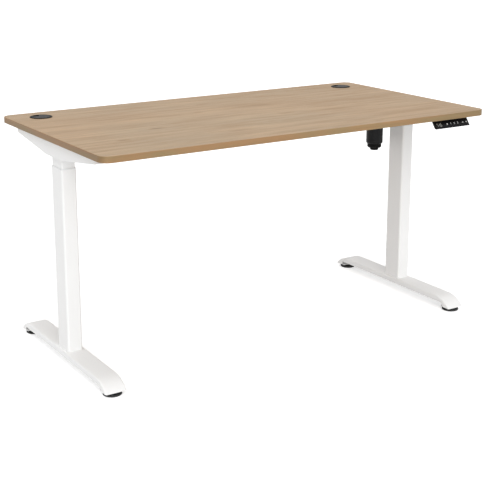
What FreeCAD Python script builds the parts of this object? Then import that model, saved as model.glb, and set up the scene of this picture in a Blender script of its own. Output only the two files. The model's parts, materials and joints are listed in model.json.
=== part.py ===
import FreeCAD, Part
import math
import os
import re
import Sketcher
from FreeCAD import Placement, Rotation, Vector

# Height adjustable standing desk. Millimetres. X runs along the desktop's width, the user sits at -Y
# and Z is up. The origin is on the floor under the desktop's centre. The desk stands at its lowest.

# ---------------------------------------------------------------------------------------------
# Driving sizes
# ---------------------------------------------------------------------------------------------
SIZES = {
    # desktop
    "top_width": (1400, "desktop, left to right"),
    "top_depth": (750, "desktop, front to back"),
    "board_thickness": (19, "laminated board"),
    "board_corner": (32, "radius of the desktop's corners"),
    "band_thickness": (2, "edge band"),
    "arris": (1.5, "rounding of the edge band's long edges"),
    # cable grommets
    "grommet_bore": (60, "hole in the board, diameter"),
    "grommet_flange": (72, "flange, diameter"),
    "flange_height": (2, "flange over the desktop"),
    "flange_bevel": (1.5, "slope at the flange's rim"),
    "grommet_wall": (2, "wall of the ring"),
    "grommet_depth": (17, "ring below the desktop's surface"),
    "grommet_side": (100, "centre to the desktop's end"),
    "grommet_back": (90, "centre to the back edge"),
    "cap_thickness": (2.4, "turning cap"),
    "ledge_width": (2.5, "ledge in the ring that carries the cap"),
    "slot_width": (26, "cable slot in the cap"),
    "slot_length": (17, "cable slot, from the cap's rim inwards"),
    "slot_turn": (120, "where the cable slot points, degrees from +X"),
    # frame
    "leg_inset": (46.5, "column axis to the desktop's end"),
    "frame_forward": (7, "frame's centre line in front of the desktop's"),
    "pad_strip": (2.5, "rubber between frame and desktop"),
    "strip_inset": (10, "rubber in from the side bracket's edges"),
    # feet
    "foot_width": (68, "channel, outside"),
    "foot_height": (45, "top of the foot over the floor"),
    "foot_sheet": (2, "sheet of the foot"),
    "foot_flat": (494, "straight stretch of the foot's top"),
    "nose_radius": (95, "curve of the foot's ends"),
    "skirt_clear": (26, "foot's lower edge over the floor"),
    "nose_clear": (13, "lower edge at the ends over the floor"),
    "nose_start": (582, "distance between the deeper ends' starts"),
    "foot_edge": (5, "rounding of the foot's long edges"),
    "pad_spacing": (580, "levelling pads, front to back"),
    "pad_diameter": (57, "levelling pad"),
    "pad_height": (8, "levelling pad"),
    "pad_crown": (3, "height of the pad's sloping top"),
    "pad_bevel": (1, "bevels of the pad and its stud"),
    "pad_plate": (34, "plate over a levelling foot, front to back"),
    "stud_diameter": (8, "levelling stud"),
    "stud_length": (22, "stud over its pad"),
    "nut_across": (13, "weld nut across its flats"),
    "nut_height": (6.5, "weld nut"),
    # columns
    "tube_width": (48, "outer tube across the desk"),
    "tube_depth": (78, "outer tube, front to back"),
    "tube_wall": (1.5, "wall of both tubes"),
    "tube_corner": (7, "corner radius of the outer tube"),
    "tube_gap": (1, "between outer and inner tube"),
    "outer_length": (568, "outer tube"),
    "inner_start": (15, "inner tube's foot over the outer tube's"),
    "inner_showing": (32, "inner tube between collar and head"),
    "base_plate": (4, "plate in the outer tube's foot"),
    "collar_flange": (3, "collar over the outer tube"),
    "collar_depth": (35, "collar's sleeve in the outer tube"),
    "running_gap": (0.3, "clearance of the sliding and turning pieces"),
    "glide_length": (30, "guide shoe"),
    "foot_bolt_x": (26, "foot bolts, across"),
    "foot_bolt_y": (54, "foot bolts, front to back"),
    # lead screws
    "screw_diameter": (14, "lead screw"),
    "screw_start": (11, "lead screw's end over the base plate"),
    "journal_diameter": (10, "journals of the lead screw"),
    "nut_tube_diameter": (24, "tube that carries the drive nut"),
    "nut_tube_wall": (2, "wall of that tube"),
    "nut_tube_length": (491, "from base plate to nut"),
    "nut_diameter": (30, "drive nut"),
    "drive_nut_height": (30, "drive nut"),
    "bearing_diameter": (32, "screw bearing"),
    "bearing_height": (12, "screw bearing"),
    # head
    "head_plate": (3, "plate on the inner tube"),
    "head_width": (56, "head plate across the desk"),
    "head_depth": (124, "head plate, front to back"),
    "head_corner": (4, "corner radius of the head plate"),
    "bolt_inset": (10, "rail bolts to the head plate's sides"),
    "journal_room": (1, "journal to its holes in head plate and gear case"),
    "bracket_width": (62, "side bracket, outside"),
    "bracket_length": (564, "side bracket"),
    "bracket_sheet": (2.5, "sheet of the side bracket"),
    "bracket_flat": (110, "straight lower edge at the column"),
    "bracket_deep": (48, "depth at the column"),
    "bracket_end": (16, "depth at the ends"),
    "bracket_bend": (4, "rounding where the sheet is folded down"),
    "screw_inset": (24, "last screw to the bracket's end"),
    # crossbeam
    "rail_height": (40, "outer rail"),
    "rail_width": (20, "outer rail"),
    "rail_wall": (1.5, "wall of the rails"),
    "rail_corner": (4, "corner radius of the outer rail"),
    "rail_spacing": (92, "front rail to rear rail, centres"),
    "rail_reach": (430, "outer rail from the column axis inwards"),
    "rail_overlap": (120, "middle rail inside the outer one"),
    "rail_gap": (0.5, "outer to middle rail"),
    # gearing
    "shaft_over_plate": (21, "drive shaft's axis over the head plate"),
    "shaft_across": (8, "hexagonal shaft across its flats"),
    "gear_module": (1.6, "bevel gears"),
    "gear_teeth": (16, "bevel gears"),
    "gear_face": (6, "tooth length"),
    "gear_backlash": (0.25, "play between the teeth"),
    "hub_diameter": (18, "gear hubs"),
    "hub_through": (5, "input hub past the gear case"),
    "case_width": (52, "gear case across the desk"),
    "case_depth": (60, "gear case, front to back"),
    "case_corner": (6, "corner radius of gear case and motor housing"),
    "case_wall": (2, "top and bottom wall of the gear case"),
    "case_play": (1.5, "chamber of the gear case over its gears"),
    "shaft_bearing": (26, "shaft bearing, diameter"),
    "shaft_bearing_width": (6, "shaft bearing"),
    # motor
    "motor_inset": (103.5, "motor axis inward of the right column's"),
    "motor_back": (23.5, "motor axis behind the drive shaft"),
    "motor_diameter": (59, "motor can"),
    "motor_length": (95, "motor can with its chamfer"),
    "motor_step": (50, "stepped end, diameter"),
    "step_height": (15, "stepped end"),
    "motor_chamfer": (3, "chamfers of can and stepped end"),
    "motor_tip": (30, "end cap, diameter"),
    "tip_height": (9, "end cap"),
    "tip_chamfer": (1.5, "chamfer of the end cap"),
    "motor_plate": (5, "mounting plate under the rails"),
    "motor_plate_length": (78, "mounting plate along the shaft"),
    "motor_bolts": (62, "mounting bolts along the shaft"),
    "motor_housing": (50, "gear housing along the shaft"),
    "shaft_hole": (12, "hole in the housing for the drive shaft"),
    # control box
    "box_width": (260, "control box"),
    "box_depth": (100, "control box"),
    "box_height": (34, "control box"),
    "box_wall": (2, "walls of the control box"),
    "box_corner": (6, "corner radius of the control box"),
    "box_back": (75, "control box's front behind the desk's centre line"),
    "lug_length": (14, "fixing lugs of the control box"),
    "lug_screws": (66, "screws in a lug, front to back"),
    "socket_lift": (8, "sockets over the box's underside"),
    # handset
    "handset_width": (146, "handset"),
    "handset_side": (70.5, "handset's end to the desktop's right end"),
    "face_rise": (22.6, "slanted face, height"),
    "face_lean": (16.6, "slanted face, how far it leans back"),
    "face_drop": (27, "lower lip under the desktop"),
    "face_plate": (2, "front plate"),
    "face_rim": (1.5, "rim round the front plate"),
    "handset_depth": (63, "handset, front to back"),
    "handset_sole": (8, "flat underside behind the lip"),
    "handset_heel": (21, "underside of the fixing flange over the lip"),
    "handset_screws": (124, "screws of the handset, across"),
    "screw_back": (16, "those screws to the handset's back"),
    "screw_seat": (3.6, "plastic between their heads and the desktop"),
    "window_sink": (0.2, "display window below the front plate"),
    "button_diameter": (9, "memory buttons"),
    "arrow_diameter": (12, "up and down buttons"),
    "button_travel": (0.8, "press of a button"),
    "button_proud": (1.1, "button over the front plate"),
    "button_flange": (1, "flange that holds a button in"),
    "button_room": (2.6, "well behind the front plate"),
    # fasteners
    "bolt_diameter": (6, "frame bolts"),
    "bolt_head": (10, "frame bolt heads"),
    "bolt_head_height": (3.3, "frame bolt heads"),
    "wood_screw": (4, "screws into the desktop"),
    "wood_screw_head": (8.5, "their heads"),
    "wood_screw_head_height": (2.4, "their heads"),
    "wood_screw_bite": (14, "thread in the board"),
    "bolt_end": (3, "bolt past the last sheet"),
    "hole_play": (0.4, "bolt holes over the bolt"),
}

# Heights and places that follow from the sizes; each may use those above it.
PLACES = {
    "leg_x": "top_width / 2 - leg_inset",
    "frame_y": "-frame_forward",
    "tube_top": "foot_height + outer_length",
    "plate_under": "tube_top + collar_flange + inner_showing",
    "plate_top": "plate_under + head_plate",
    "rail_top": "plate_top + rail_height",
    "bracket_top": "rail_top + bracket_sheet",
    "board_under": "bracket_top + pad_strip",
    "desk_top": "board_under + board_thickness",
    "shaft_axis": "plate_top + shaft_over_plate",
    "bore_width": "tube_width - 2 * tube_wall",
    "bore_depth": "tube_depth - 2 * tube_wall",
    "inner_width": "bore_width - 2 * tube_gap",
    "inner_depth": "bore_depth - 2 * tube_gap",
    "gear_reach": "gear_module * (gear_teeth / 2 + 0.7072)",
    "rail_y": "rail_spacing / 2",
    "rail_start": "head_width / 2 - 2",
    "rail_end": "leg_x - rail_reach",
    "middle_end": "rail_end + rail_overlap",
    "motor_x": "leg_x - motor_inset",
    "motor_y": "frame_y + motor_back",
    "motor_top": "plate_top - motor_plate",
    "box_y": "box_back + box_depth / 2",
    "handset_x": "top_width / 2 - handset_side - handset_width / 2",
    "face_length": "sqrt(face_rise * face_rise + face_lean * face_lean)",
    "lip_y": "-top_depth / 2",
    "lip_z": "board_under - face_drop",
    "grommet_x": "top_width / 2 - grommet_side",
    "grommet_y": "top_depth / 2 - grommet_back",
    "cap_under": "desk_top + flange_height - cap_thickness",
}

ACROSS = Rotation(Vector(0, 1, 0), 90)
SIDES = {"left": -1, "right": 1}
ENDS = {"front": -1, "rear": 1}
FITTING_PLAY = 0.05      # radial play of journals, studs and seated bearings
THROUGH = 2              # how far a cutting tool runs past the face that it opens
MERGE = 1                # how far solids that become one run into each other

doc = FreeCAD.newDocument("StandingDesk")
sheet = doc.addObject("Spreadsheet::Sheet", "Sizes")
for row, (alias, (amount, note)) in enumerate(SIZES.items(), start=1):
    sheet.set(f"A{row}", note)
    sheet.set(f"B{row}", str(amount))
    sheet.setAlias(f"B{row}", alias)
doc.recompute()

NAME = re.compile(r"[a-z][a-z_]*")
nodes = {}


def rule(text):
    """An expression on the sheet: sizes become its cells, and places are written out."""
    def written_out(found):
        word = found.group()
        if word in PLACES:
            return "(" + rule(PLACES[word]) + ")"
        return "Sizes." + word if word in SIZES else word
    return NAME.sub(written_out, str(text))


def number(text):
    """The same rule worked out now."""
    def filled(found):
        word = found.group()
        if word in PLACES:
            return repr(number(PLACES[word]))
        return repr(float(sheet.get(word))) if word in SIZES else word
    return FreeCAD.Units.Quantity("(" + NAME.sub(filled, str(text)) + ")").Value


def bind(piece, **rules):
    for prop, text in rules.items():
        piece.setExpression(prop, rule(text))
    return piece


def put(piece, x=0, y=0, z=0, turn=None):
    """Place a piece; x, y and z are rules."""
    if turn:
        piece.Placement = Placement(Vector(), turn)
    for direction, text in zip("xyz", (x, y, z)):
        piece.setExpression(f"Placement.Base.{direction}", rule(text))
    return piece


def node(name, piece):
    """Register a piece as the sub-part of that name."""
    piece.Label = name
    nodes[name] = piece
    return piece


# ---------------------------------------------------------------------------------------------
# Plain solids and booleans
# ---------------------------------------------------------------------------------------------
def block(x, y, z, length, width, height):
    """A box with its middle at x, y and its underside at z."""
    box = bind(doc.addObject("Part::Box", "Block"), Length=length, Width=width, Height=height)
    return put(box, f"({x}) - ({length}) / 2", f"({y}) - ({width}) / 2", z)


def rod(x, y, z, diameter, length, turn=None):
    """A round rod from x, y, z upwards, or along the turned Z axis."""
    cylinder = doc.addObject("Part::Cylinder", "Rod")
    bind(cylinder, Radius=f"({diameter}) / 2", Height=length)
    return put(cylinder, x, y, z, turn)


def hexagon(x, y, z, across, length, turn=None):
    prism = doc.addObject("Part::Prism", "Hexagon")
    prism.Polygon = 6
    bind(prism, Circumradius=f"({across}) / sqrt(3)", Height=length)
    return put(prism, x, y, z, turn)


def fused(*pieces):
    union = doc.addObject("Part::MultiFuse", "Fused")
    union.Shapes = list(pieces)
    return union


def less(base, *tools):
    """base with the tools cut away."""
    cut = doc.addObject("Part::Cut", "Less")
    cut.Base = base
    cut.Tool = tools[0] if len(tools) == 1 else group(*tools)
    return cut


def group(*pieces):
    together = doc.addObject("Part::Compound", "Group")
    together.Links = list(pieces)
    return together


# ---------------------------------------------------------------------------------------------
# Bodies and their sketches
# ---------------------------------------------------------------------------------------------
def new_body(name, x=0, y=0, z=0, turn=None):
    return put(doc.addObject("PartDesign::Body", name), x, y, z, turn)


def plane_sketch(body, plane, lift=0):
    """A sketch on one of the body's own planes, or lifted off it."""
    sketch = body.newObject("Sketcher::SketchObject", body.Name + "Sketch")
    support = next(item for item in body.Origin.OriginFeatures if item.Role == plane)
    sketch.AttachmentSupport = [(support, "")]
    sketch.MapMode = "FlatFace"
    sketch.setExpression("AttachmentOffset.Base.z", rule(lift))
    return sketch


def fix(sketch, kind, *what, to):
    """A dimension bound to a rule."""
    index = sketch.addConstraint(Sketcher.Constraint(kind, *what, number(to)))
    sketch.setExpression(f"Constraints[{index}]", rule(to))


def polygon(sketch, points):
    """A closed outline of straight lines through points given as rules."""
    places = [Vector(number(x), number(y), 0) for x, y in points]
    first = sketch.GeometryCount
    for start, end in zip(places, places[1:] + places[:1]):
        sketch.addGeometry(Part.LineSegment(start, end))
    for step, (x, y) in enumerate(points):
        line = first + step
        after = first + (step + 1) % len(points)
        sketch.addConstraint(Sketcher.Constraint("Coincident", line, 2, after, 1))
        fix(sketch, "DistanceX", line, 1, to=x)
        fix(sketch, "DistanceY", line, 1, to=y)


def circle(sketch, x, y, diameter):
    centre = Vector(number(x), number(y), 0)
    index = sketch.addGeometry(Part.Circle(centre, Vector(0, 0, 1), number(diameter) / 2))
    fix(sketch, "DistanceX", index, 3, to=x)
    fix(sketch, "DistanceY", index, 3, to=y)
    fix(sketch, "Diameter", index, to=diameter)


def rounded_rectangle(sketch, width, depth, corner):
    """A rectangle about the origin with four equal round corners."""
    half_x, half_y, radius = number(width) / 2, number(depth) / 2, number(corner)
    in_x, in_y = half_x - radius, half_y - radius
    sides = [((-in_x, -half_y), (in_x, -half_y)), ((half_x, -in_y), (half_x, in_y)),
             ((in_x, half_y), (-in_x, half_y)), ((-half_x, in_y), (-half_x, -in_y))]
    corners = [(in_x, -in_y), (in_x, in_y), (-in_x, in_y), (-in_x, -in_y)]
    first = sketch.GeometryCount
    for start, end in sides:
        sketch.addGeometry(Part.LineSegment(Vector(*start, 0), Vector(*end, 0)))
    for quarter, (x, y) in enumerate(corners):
        begin = (quarter - 1) * math.pi / 2
        rim = Part.Circle(Vector(x, y, 0), Vector(0, 0, 1), radius)
        sketch.addGeometry(Part.ArcOfCircle(rim, begin, begin + math.pi / 2))
    for quarter in range(4):
        side, arc = first + quarter, first + 4 + quarter
        sketch.addConstraint(Sketcher.Constraint("Tangent", side, 2, arc, 1))
        sketch.addConstraint(Sketcher.Constraint("Tangent", arc, 2, first + (quarter + 1) % 4, 1))
        sketch.addConstraint(Sketcher.Constraint("Vertical" if quarter % 2 else "Horizontal", side))
        if quarter:
            sketch.addConstraint(Sketcher.Constraint("Equal", arc - 1, arc))
    fix(sketch, "Radius", first + 4, to=corner)
    fix(sketch, "DistanceY", first, 1, to=f"-({depth}) / 2")
    fix(sketch, "DistanceX", first + 1, 1, to=f"({width}) / 2")
    fix(sketch, "DistanceY", first + 2, 1, to=f"({depth}) / 2")
    fix(sketch, "DistanceX", first + 3, 1, to=f"-({width}) / 2")


def pad(body, sketch, length, symmetric=False):
    feature = body.newObject("PartDesign::Pad", body.Name + "Pad")
    feature.Profile = sketch
    feature.SideType = "Symmetric" if symmetric else "One side"
    return bind(feature, Length=length)


def pocket(body, sketch, length):
    """Cut the sketch away to both sides of its plane."""
    feature = body.newObject("PartDesign::Pocket", body.Name + "Pocket")
    feature.Profile = sketch
    feature.SideType = "Symmetric"
    return bind(feature, Length=length)


def turned(body, points):
    """Revolve an outline of radius and height round the body's Z axis."""
    sketch = plane_sketch(body, "XZ_Plane")
    polygon(sketch, points)
    feature = body.newObject("PartDesign::Revolution", body.Name + "Turned")
    feature.Profile = sketch
    feature.ReferenceAxis = (sketch, ["V_Axis"])
    return body


def round_edges(body, radius, wanted):
    """Fillet those straight edges of the body for which wanted(middle, direction) is true."""
    doc.recompute()
    chosen = []
    for index, edge in enumerate(body.Shape.Edges, start=1):
        if not isinstance(edge.Curve, Part.Line):
            continue
        middle = body.Placement.inverse().multVec(edge.CenterOfMass)
        along = edge.Vertexes[-1].Point - edge.Vertexes[0].Point
        if wanted(middle, along.normalize()):
            chosen.append(f"Edge{index}")
    carrier = body.Tip
    fillet = body.newObject("PartDesign::Fillet", body.Name + "Rounding")
    fillet.Base = (carrier, chosen)
    return bind(fillet, Radius=radius)


def near(one, other):
    return abs(one - other) < 1e-4


# ---------------------------------------------------------------------------------------------
# Screws into the desktop: place, and height of the face that the head is drawn against
# ---------------------------------------------------------------------------------------------
def bracket_screw_rows():
    """Screws of a side bracket, as offsets along it."""
    for end in ENDS.values():
        for offset in ("bracket_length / 2 - screw_inset", "bracket_length / 4"):
            yield f"{end} * ({offset})"


WOOD_SCREWS = [(f"{side} * leg_x", f"frame_y + {row}", "rail_top")
               for side in SIDES.values() for row in bracket_screw_rows()]
LUG_SCREWS = [(f"{side} * (box_width + lug_length) / 2", f"box_y + {end} * lug_screws / 2",
               "board_under - box_wall") for side in SIDES.values() for end in ENDS.values()]
HANDSET_SCREWS = [(f"handset_x + {side} * handset_screws / 2", "lip_y + handset_depth - screw_back",
                   "board_under - screw_seat") for side in SIDES.values()]
WOOD_SCREWS += LUG_SCREWS + HANDSET_SCREWS


def wood_screw(x, y, seat):
    """Countersunk under a sheet, flat under thicker pieces: head below the seat, thread above it."""
    head = rod(x, y, f"{seat} - wood_screw_head_height", "wood_screw_head", "wood_screw_head_height")
    return fused(head, rod(x, y, seat, "wood_screw", f"board_under + wood_screw_bite - ({seat})"))


def screw_hole(x, y, z, depth, play):
    return rod(x, y, z, f"wood_screw + {play}", depth)


# ---------------------------------------------------------------------------------------------
# Desktop
# ---------------------------------------------------------------------------------------------
def desktop():
    core = new_body("DesktopCore", 0, 0, "board_under")
    sketch = plane_sketch(core, "XY_Plane")
    rounded_rectangle(sketch, "top_width - 2 * band_thickness", "top_depth - 2 * band_thickness",
                      "board_corner - band_thickness")
    for side in SIDES.values():
        circle(sketch, f"{side} * grommet_x", "grommet_y", "grommet_bore")
    pad(core, sketch, "board_thickness")
    pilots = [screw_hole(x, y, f"board_under - {THROUGH}", f"wood_screw_bite + 1 + {THROUGH}",
                         2 * FITTING_PLAY) for x, y, _ in WOOD_SCREWS]
    node("desktop_board", less(core, *pilots))

    band = new_body("EdgeBand", 0, 0, "board_under")
    sketch = plane_sketch(band, "XY_Plane")
    rounded_rectangle(sketch, "top_width", "top_depth", "board_corner")
    rounded_rectangle(sketch, "top_width - 2 * band_thickness", "top_depth - 2 * band_thickness",
                      "board_corner - band_thickness")
    pad(band, sketch, "board_thickness")
    rim = number("top_depth") / 2, number("top_width") / 2
    round_edges(band, "arris", lambda middle, along: near(along.z, 0)
                and (near(abs(middle.y), rim[0]) or near(abs(middle.x), rim[1])))
    node("edge_band", band)
    node("desk_screws", group(*(wood_screw(*place) for place in WOOD_SCREWS)))


def grommet(side_name, side):
    """A ring pressed into the board, and the cap that turns on the ring's ledge."""
    x, y = f"{side} * grommet_x", "grommet_y"
    shell = f"grommet_bore / 2 - {FITTING_PLAY}"
    inside = f"{shell} - grommet_wall"
    ledge_top = "flange_height - cap_thickness - running_gap"
    ring = turned(new_body(f"GrommetRing{side_name}", x, y, "desk_top"), [
        (inside, "flange_height"), ("grommet_flange / 2 - flange_bevel", "flange_height"),
        ("grommet_flange / 2", "flange_height / 4"), ("grommet_flange / 2", "0"), (shell, "0"),
        (shell, "-grommet_depth"), (f"{inside} - ledge_width", "-grommet_depth"),
        (f"{inside} - ledge_width", ledge_top), (inside, ledge_top)])
    node(f"grommet_ring_{side_name}", ring)

    rim = f"({inside} - running_gap)"
    disc = rod(0, 0, 0, f"2 * {rim}", "cap_thickness")
    centre, height = f"({rim} - slot_length + slot_width / 2)", f"cap_thickness + 2 * {THROUGH}"
    slot = rod(centre, 0, -THROUGH, "slot_width", height)
    mouth = block(f"{centre} + slot_width / 2", 0, -THROUGH, "slot_width", "slot_width", height)
    turn = Rotation(Vector(0, 0, 1), number("slot_turn"))
    node(f"grommet_cap_{side_name}", put(less(disc, slot, mouth), x, y, "cap_under", turn))


# ---------------------------------------------------------------------------------------------
# Feet
# ---------------------------------------------------------------------------------------------
def foot_outline(sketch, inset, bottom_line):
    """The foot's side view: a flat top that runs into round noses, set in by the given amount.

    bottom_line lists the points of the lower edge from the right-hand nose to the left-hand one.
    """
    top, flat, radius = f"foot_height - {inset}", "foot_flat / 2", f"nose_radius - {inset}"
    low = bottom_line[0][1]
    rise = f"(({low}) - foot_height + nose_radius)"
    reach = number(f"{flat} + sqrt(({radius}) * ({radius}) - {rise} * {rise})")
    half, height, floor = number(flat), number(top), number(low)
    centre_z = number("foot_height - nose_radius")
    first = sketch.GeometryCount
    sketch.addGeometry(Part.LineSegment(Vector(half, height, 0), Vector(-half, height, 0)))
    fix(sketch, "DistanceX", first, 1, to=flat)
    fix(sketch, "DistanceY", first, 1, to=top)
    fix(sketch, "DistanceX", first, 2, to=f"-{flat}")
    fix(sketch, "DistanceY", first, 2, to=top)

    fall = math.asin((floor - centre_z) / number(radius))
    right = Part.Circle(Vector(half, centre_z, 0), Vector(0, 0, 1), number(radius))
    left = Part.Circle(Vector(-half, centre_z, 0), Vector(0, 0, 1), number(radius))
    sketch.addGeometry(Part.ArcOfCircle(right, fall, math.pi / 2))
    sketch.addGeometry(Part.ArcOfCircle(left, math.pi / 2, math.pi - fall))
    for arc, upper, line_end, x in ((first + 1, 2, 1, flat), (first + 2, 1, 2, f"-{flat}")):
        sketch.addConstraint(Sketcher.Constraint("Coincident", arc, upper, first, line_end))
        fix(sketch, "DistanceX", arc, 3, to=x)
        fix(sketch, "DistanceY", arc, 3, to="foot_height - nose_radius")
        fix(sketch, "DistanceY", arc, 3 - upper, to=low)

    corners = [(reach, floor)] + [(number(x), number(z)) for x, z in bottom_line[1:-1]]
    corners += [(-reach, floor)]
    last = len(corners) - 2
    for step, (start, end) in enumerate(zip(corners, corners[1:])):
        line = sketch.addGeometry(Part.LineSegment(Vector(*start, 0), Vector(*end, 0)))
        joins = (first + 1, 1) if step == 0 else (line - 1, 2)
        sketch.addConstraint(Sketcher.Constraint("Coincident", line, 1, *joins))
        if step:
            fix(sketch, "DistanceX", line, 1, to=bottom_line[step][0])
            fix(sketch, "DistanceY", line, 1, to=bottom_line[step][1])
        if step == last:
            sketch.addConstraint(Sketcher.Constraint("Coincident", line, 2, first + 2, 2))


def foot(side_name, side):
    """A folded channel, open below, with a plate and a weld nut at each levelling foot."""
    x = f"{side} * leg_x"
    channel = new_body(f"Foot{side_name}", x, "frame_y", 0)
    slope = "skirt_clear - nose_clear"
    lower_edge = [("0", "nose_clear"), ("nose_start / 2", "nose_clear"),
                  (f"nose_start / 2 - ({slope})", "skirt_clear"),
                  (f"-nose_start / 2 + ({slope})", "skirt_clear"), ("-nose_start / 2", "nose_clear"),
                  ("0", "nose_clear")]
    outside = plane_sketch(channel, "YZ_Plane")
    foot_outline(outside, "0", lower_edge)
    pad(channel, outside, "foot_width", symmetric=True)
    half = number("foot_width / 2")
    round_edges(channel, "foot_edge", lambda middle, along: near(abs(along.y), 1)
                and near(abs(middle.x), half) and near(middle.z, number("foot_height")))
    inside = plane_sketch(channel, "YZ_Plane")
    foot_outline(inside, "foot_sheet", 2 * [("0", "nose_clear - foot_sheet")])
    pocket(channel, inside, "foot_width - 2 * foot_sheet")

    plates, nuts, holes = [], [], []
    for end_name, end in ENDS.items():
        y = f"frame_y + {end} * pad_spacing / 2"
        plates.append(block(x, y, "nose_clear", "foot_width - 2 * foot_sheet", "pad_plate",
                            "foot_sheet"))
        nuts.append(hexagon(x, y, "nose_clear + foot_sheet", "nut_across", "nut_height"))
        holes.append(rod(x, y, f"nose_clear - {THROUGH}", f"stud_diameter + 2 * {FITTING_PLAY}",
                         f"foot_sheet + nut_height + 2 * {THROUGH}"))
        levelling_foot(f"levelling_foot_{end_name}_{side_name}", x, y)
    for bolt_x, bolt_y in bolt_square("foot_bolt_x", "foot_bolt_y"):
        holes.append(rod(f"{x} + {bolt_x}", f"frame_y + {bolt_y}", f"foot_height - foot_sheet - {THROUGH}",
                         "bolt_diameter + hole_play", f"foot_sheet + 2 * {THROUGH}"))
    node(f"foot_{side_name}", less(fused(channel, *plates, *nuts), *holes))


def levelling_foot(name, x, y):
    """A round pad with a domed top on a threaded stud."""
    edge, stud, top = "pad_diameter / 2", "stud_diameter / 2", "pad_height + stud_length"
    points = [("0", "0"), (f"{edge} - pad_bevel", "0"), (edge, "pad_bevel"),
              (edge, "pad_height - pad_crown"), (f"{edge} - pad_bevel", "pad_height - pad_crown / 2"),
              (f"{edge} - pad_crown - pad_bevel", "pad_height"), (stud, "pad_height"),
              (stud, f"{top} - pad_bevel"), (f"{stud} - pad_bevel", top), ("0", top)]
    node(name, turned(new_body("Pad", x, y, 0), points))


def bolt_square(across, along):
    """The four corners of a bolt rectangle, as offsets."""
    for x in SIDES.values():
        for y in ENDS.values():
            yield f"{x} * {across} / 2", f"{y} * {along} / 2"


def bolt(x, y, seat, length):
    """A frame bolt: flat round head under its seat, shank above it."""
    head = rod(x, y, f"{seat} - bolt_head_height", "bolt_head", "bolt_head_height")
    return fused(head, rod(x, y, seat, "bolt_diameter", length))


# ---------------------------------------------------------------------------------------------
# Columns
# ---------------------------------------------------------------------------------------------
def tube(name, place, width, depth, corner, wall, length, turn=None):
    """A rectangular tube with round corners; width, depth and corner are outside sizes."""
    body = new_body(name, *place, turn)
    sketch = plane_sketch(body, "XY_Plane")
    rounded_rectangle(sketch, width, depth, corner)
    rounded_rectangle(sketch, f"({width}) - 2 * ({wall})", f"({depth}) - 2 * ({wall})",
                      f"({corner}) - ({wall})")
    pad(body, sketch, length)
    return body


def slab(name, x, y, z, width, depth, corner, thickness):
    """An upright block or flat plate with round corners, its middle at x, y and its underside at z."""
    body = new_body(name, x, y, z)
    sketch = plane_sketch(body, "XY_Plane")
    rounded_rectangle(sketch, width, depth, corner)
    pad(body, sketch, thickness)
    return body


def lower_column(side_name, side):
    """Outer tube with its base plate, plastic collar, nut tube and drive nut."""
    x = f"{side} * leg_x"
    bore_corner = "(tube_corner - tube_wall)"
    shell = tube(f"OuterTube{side_name}", (x, "frame_y", "foot_height"), "tube_width", "tube_depth",
                 "tube_corner", "tube_wall", "outer_length")
    plate = slab(f"BasePlate{side_name}", x, "frame_y", "foot_height", "bore_width", "bore_depth",
                 bore_corner, "base_plate")
    holes = [rod(f"{x} + {bolt_x}", f"frame_y + {bolt_y}", f"foot_height - {THROUGH}",
                 f"bolt_diameter + 2 * {FITTING_PLAY}", f"base_plate + 2 * {THROUGH}")
             for bolt_x, bolt_y in bolt_square("foot_bolt_x", "foot_bolt_y")]
    node(f"outer_tube_{side_name}", less(fused(shell, plate), *holes))

    lip = tube(f"CollarLip{side_name}", (x, "frame_y", "tube_top"), "tube_width", "tube_depth",
               "tube_corner", "tube_wall + tube_gap - running_gap", "collar_flange")
    sleeve = tube(f"CollarSleeve{side_name}", (x, "frame_y", "tube_top - collar_depth"), "bore_width",
                  "bore_depth", bore_corner, "tube_gap - running_gap", "collar_depth")
    node(f"tube_collar_{side_name}", fused(lip, sleeve))

    plate_face = "foot_height + base_plate"
    carrier = rod(x, "frame_y", plate_face, "nut_tube_diameter", "nut_tube_length")
    hollow = rod(x, "frame_y", plate_face, "nut_tube_diameter - 2 * nut_tube_wall", "nut_tube_length")
    node(f"nut_tube_{side_name}", less(carrier, hollow))
    nut_z = f"{plate_face} + nut_tube_length"
    nut = rod(x, "frame_y", nut_z, "nut_diameter", "drive_nut_height")
    thread = rod(x, "frame_y", nut_z, f"screw_diameter + 2 * {FITTING_PLAY}", "drive_nut_height")
    node(f"drive_nut_{side_name}", less(nut, thread))


def upper_column(side_name, side):
    """Inner tube with its welded head plate; returns the guide shoe at its foot."""
    x = f"{side} * leg_x"
    corner = "tube_corner - tube_wall - tube_gap"
    start = "foot_height + inner_start"
    shell = tube(f"InnerTube{side_name}", (x, "frame_y", start), "inner_width", "inner_depth", corner,
                 "tube_wall", f"plate_under - ({start})")
    plate = slab(f"HeadPlate{side_name}", x, "frame_y", "plate_under", "head_width", "head_depth",
                 "head_corner", "head_plate")
    holes = [rod(x, "frame_y", f"plate_under - {THROUGH}", "journal_diameter + 2 * journal_room",
                 f"head_plate + 2 * {THROUGH}")]
    holes += [rod(f"{x} + {bolt_x}", f"frame_y + {bolt_y}", f"plate_under - {THROUGH}",
                  "bolt_diameter + hole_play", f"head_plate + 2 * {THROUGH}")
              for bolt_x, bolt_y in bolt_square(RAIL_BOLTS, "rail_spacing")]
    node(f"inner_tube_{side_name}", less(fused(shell, plate), *holes))
    return tube(f"Shoe{side_name}", (x, "frame_y", start), "bore_width - 2 * running_gap",
                "bore_depth - 2 * running_gap", "tube_corner - tube_wall - running_gap",
                "tube_gap - running_gap", "glide_length")


# ---------------------------------------------------------------------------------------------
# Frame under the desktop
# ---------------------------------------------------------------------------------------------
RAIL_BOLTS = "(head_width - 2 * bolt_inset)"


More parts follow.
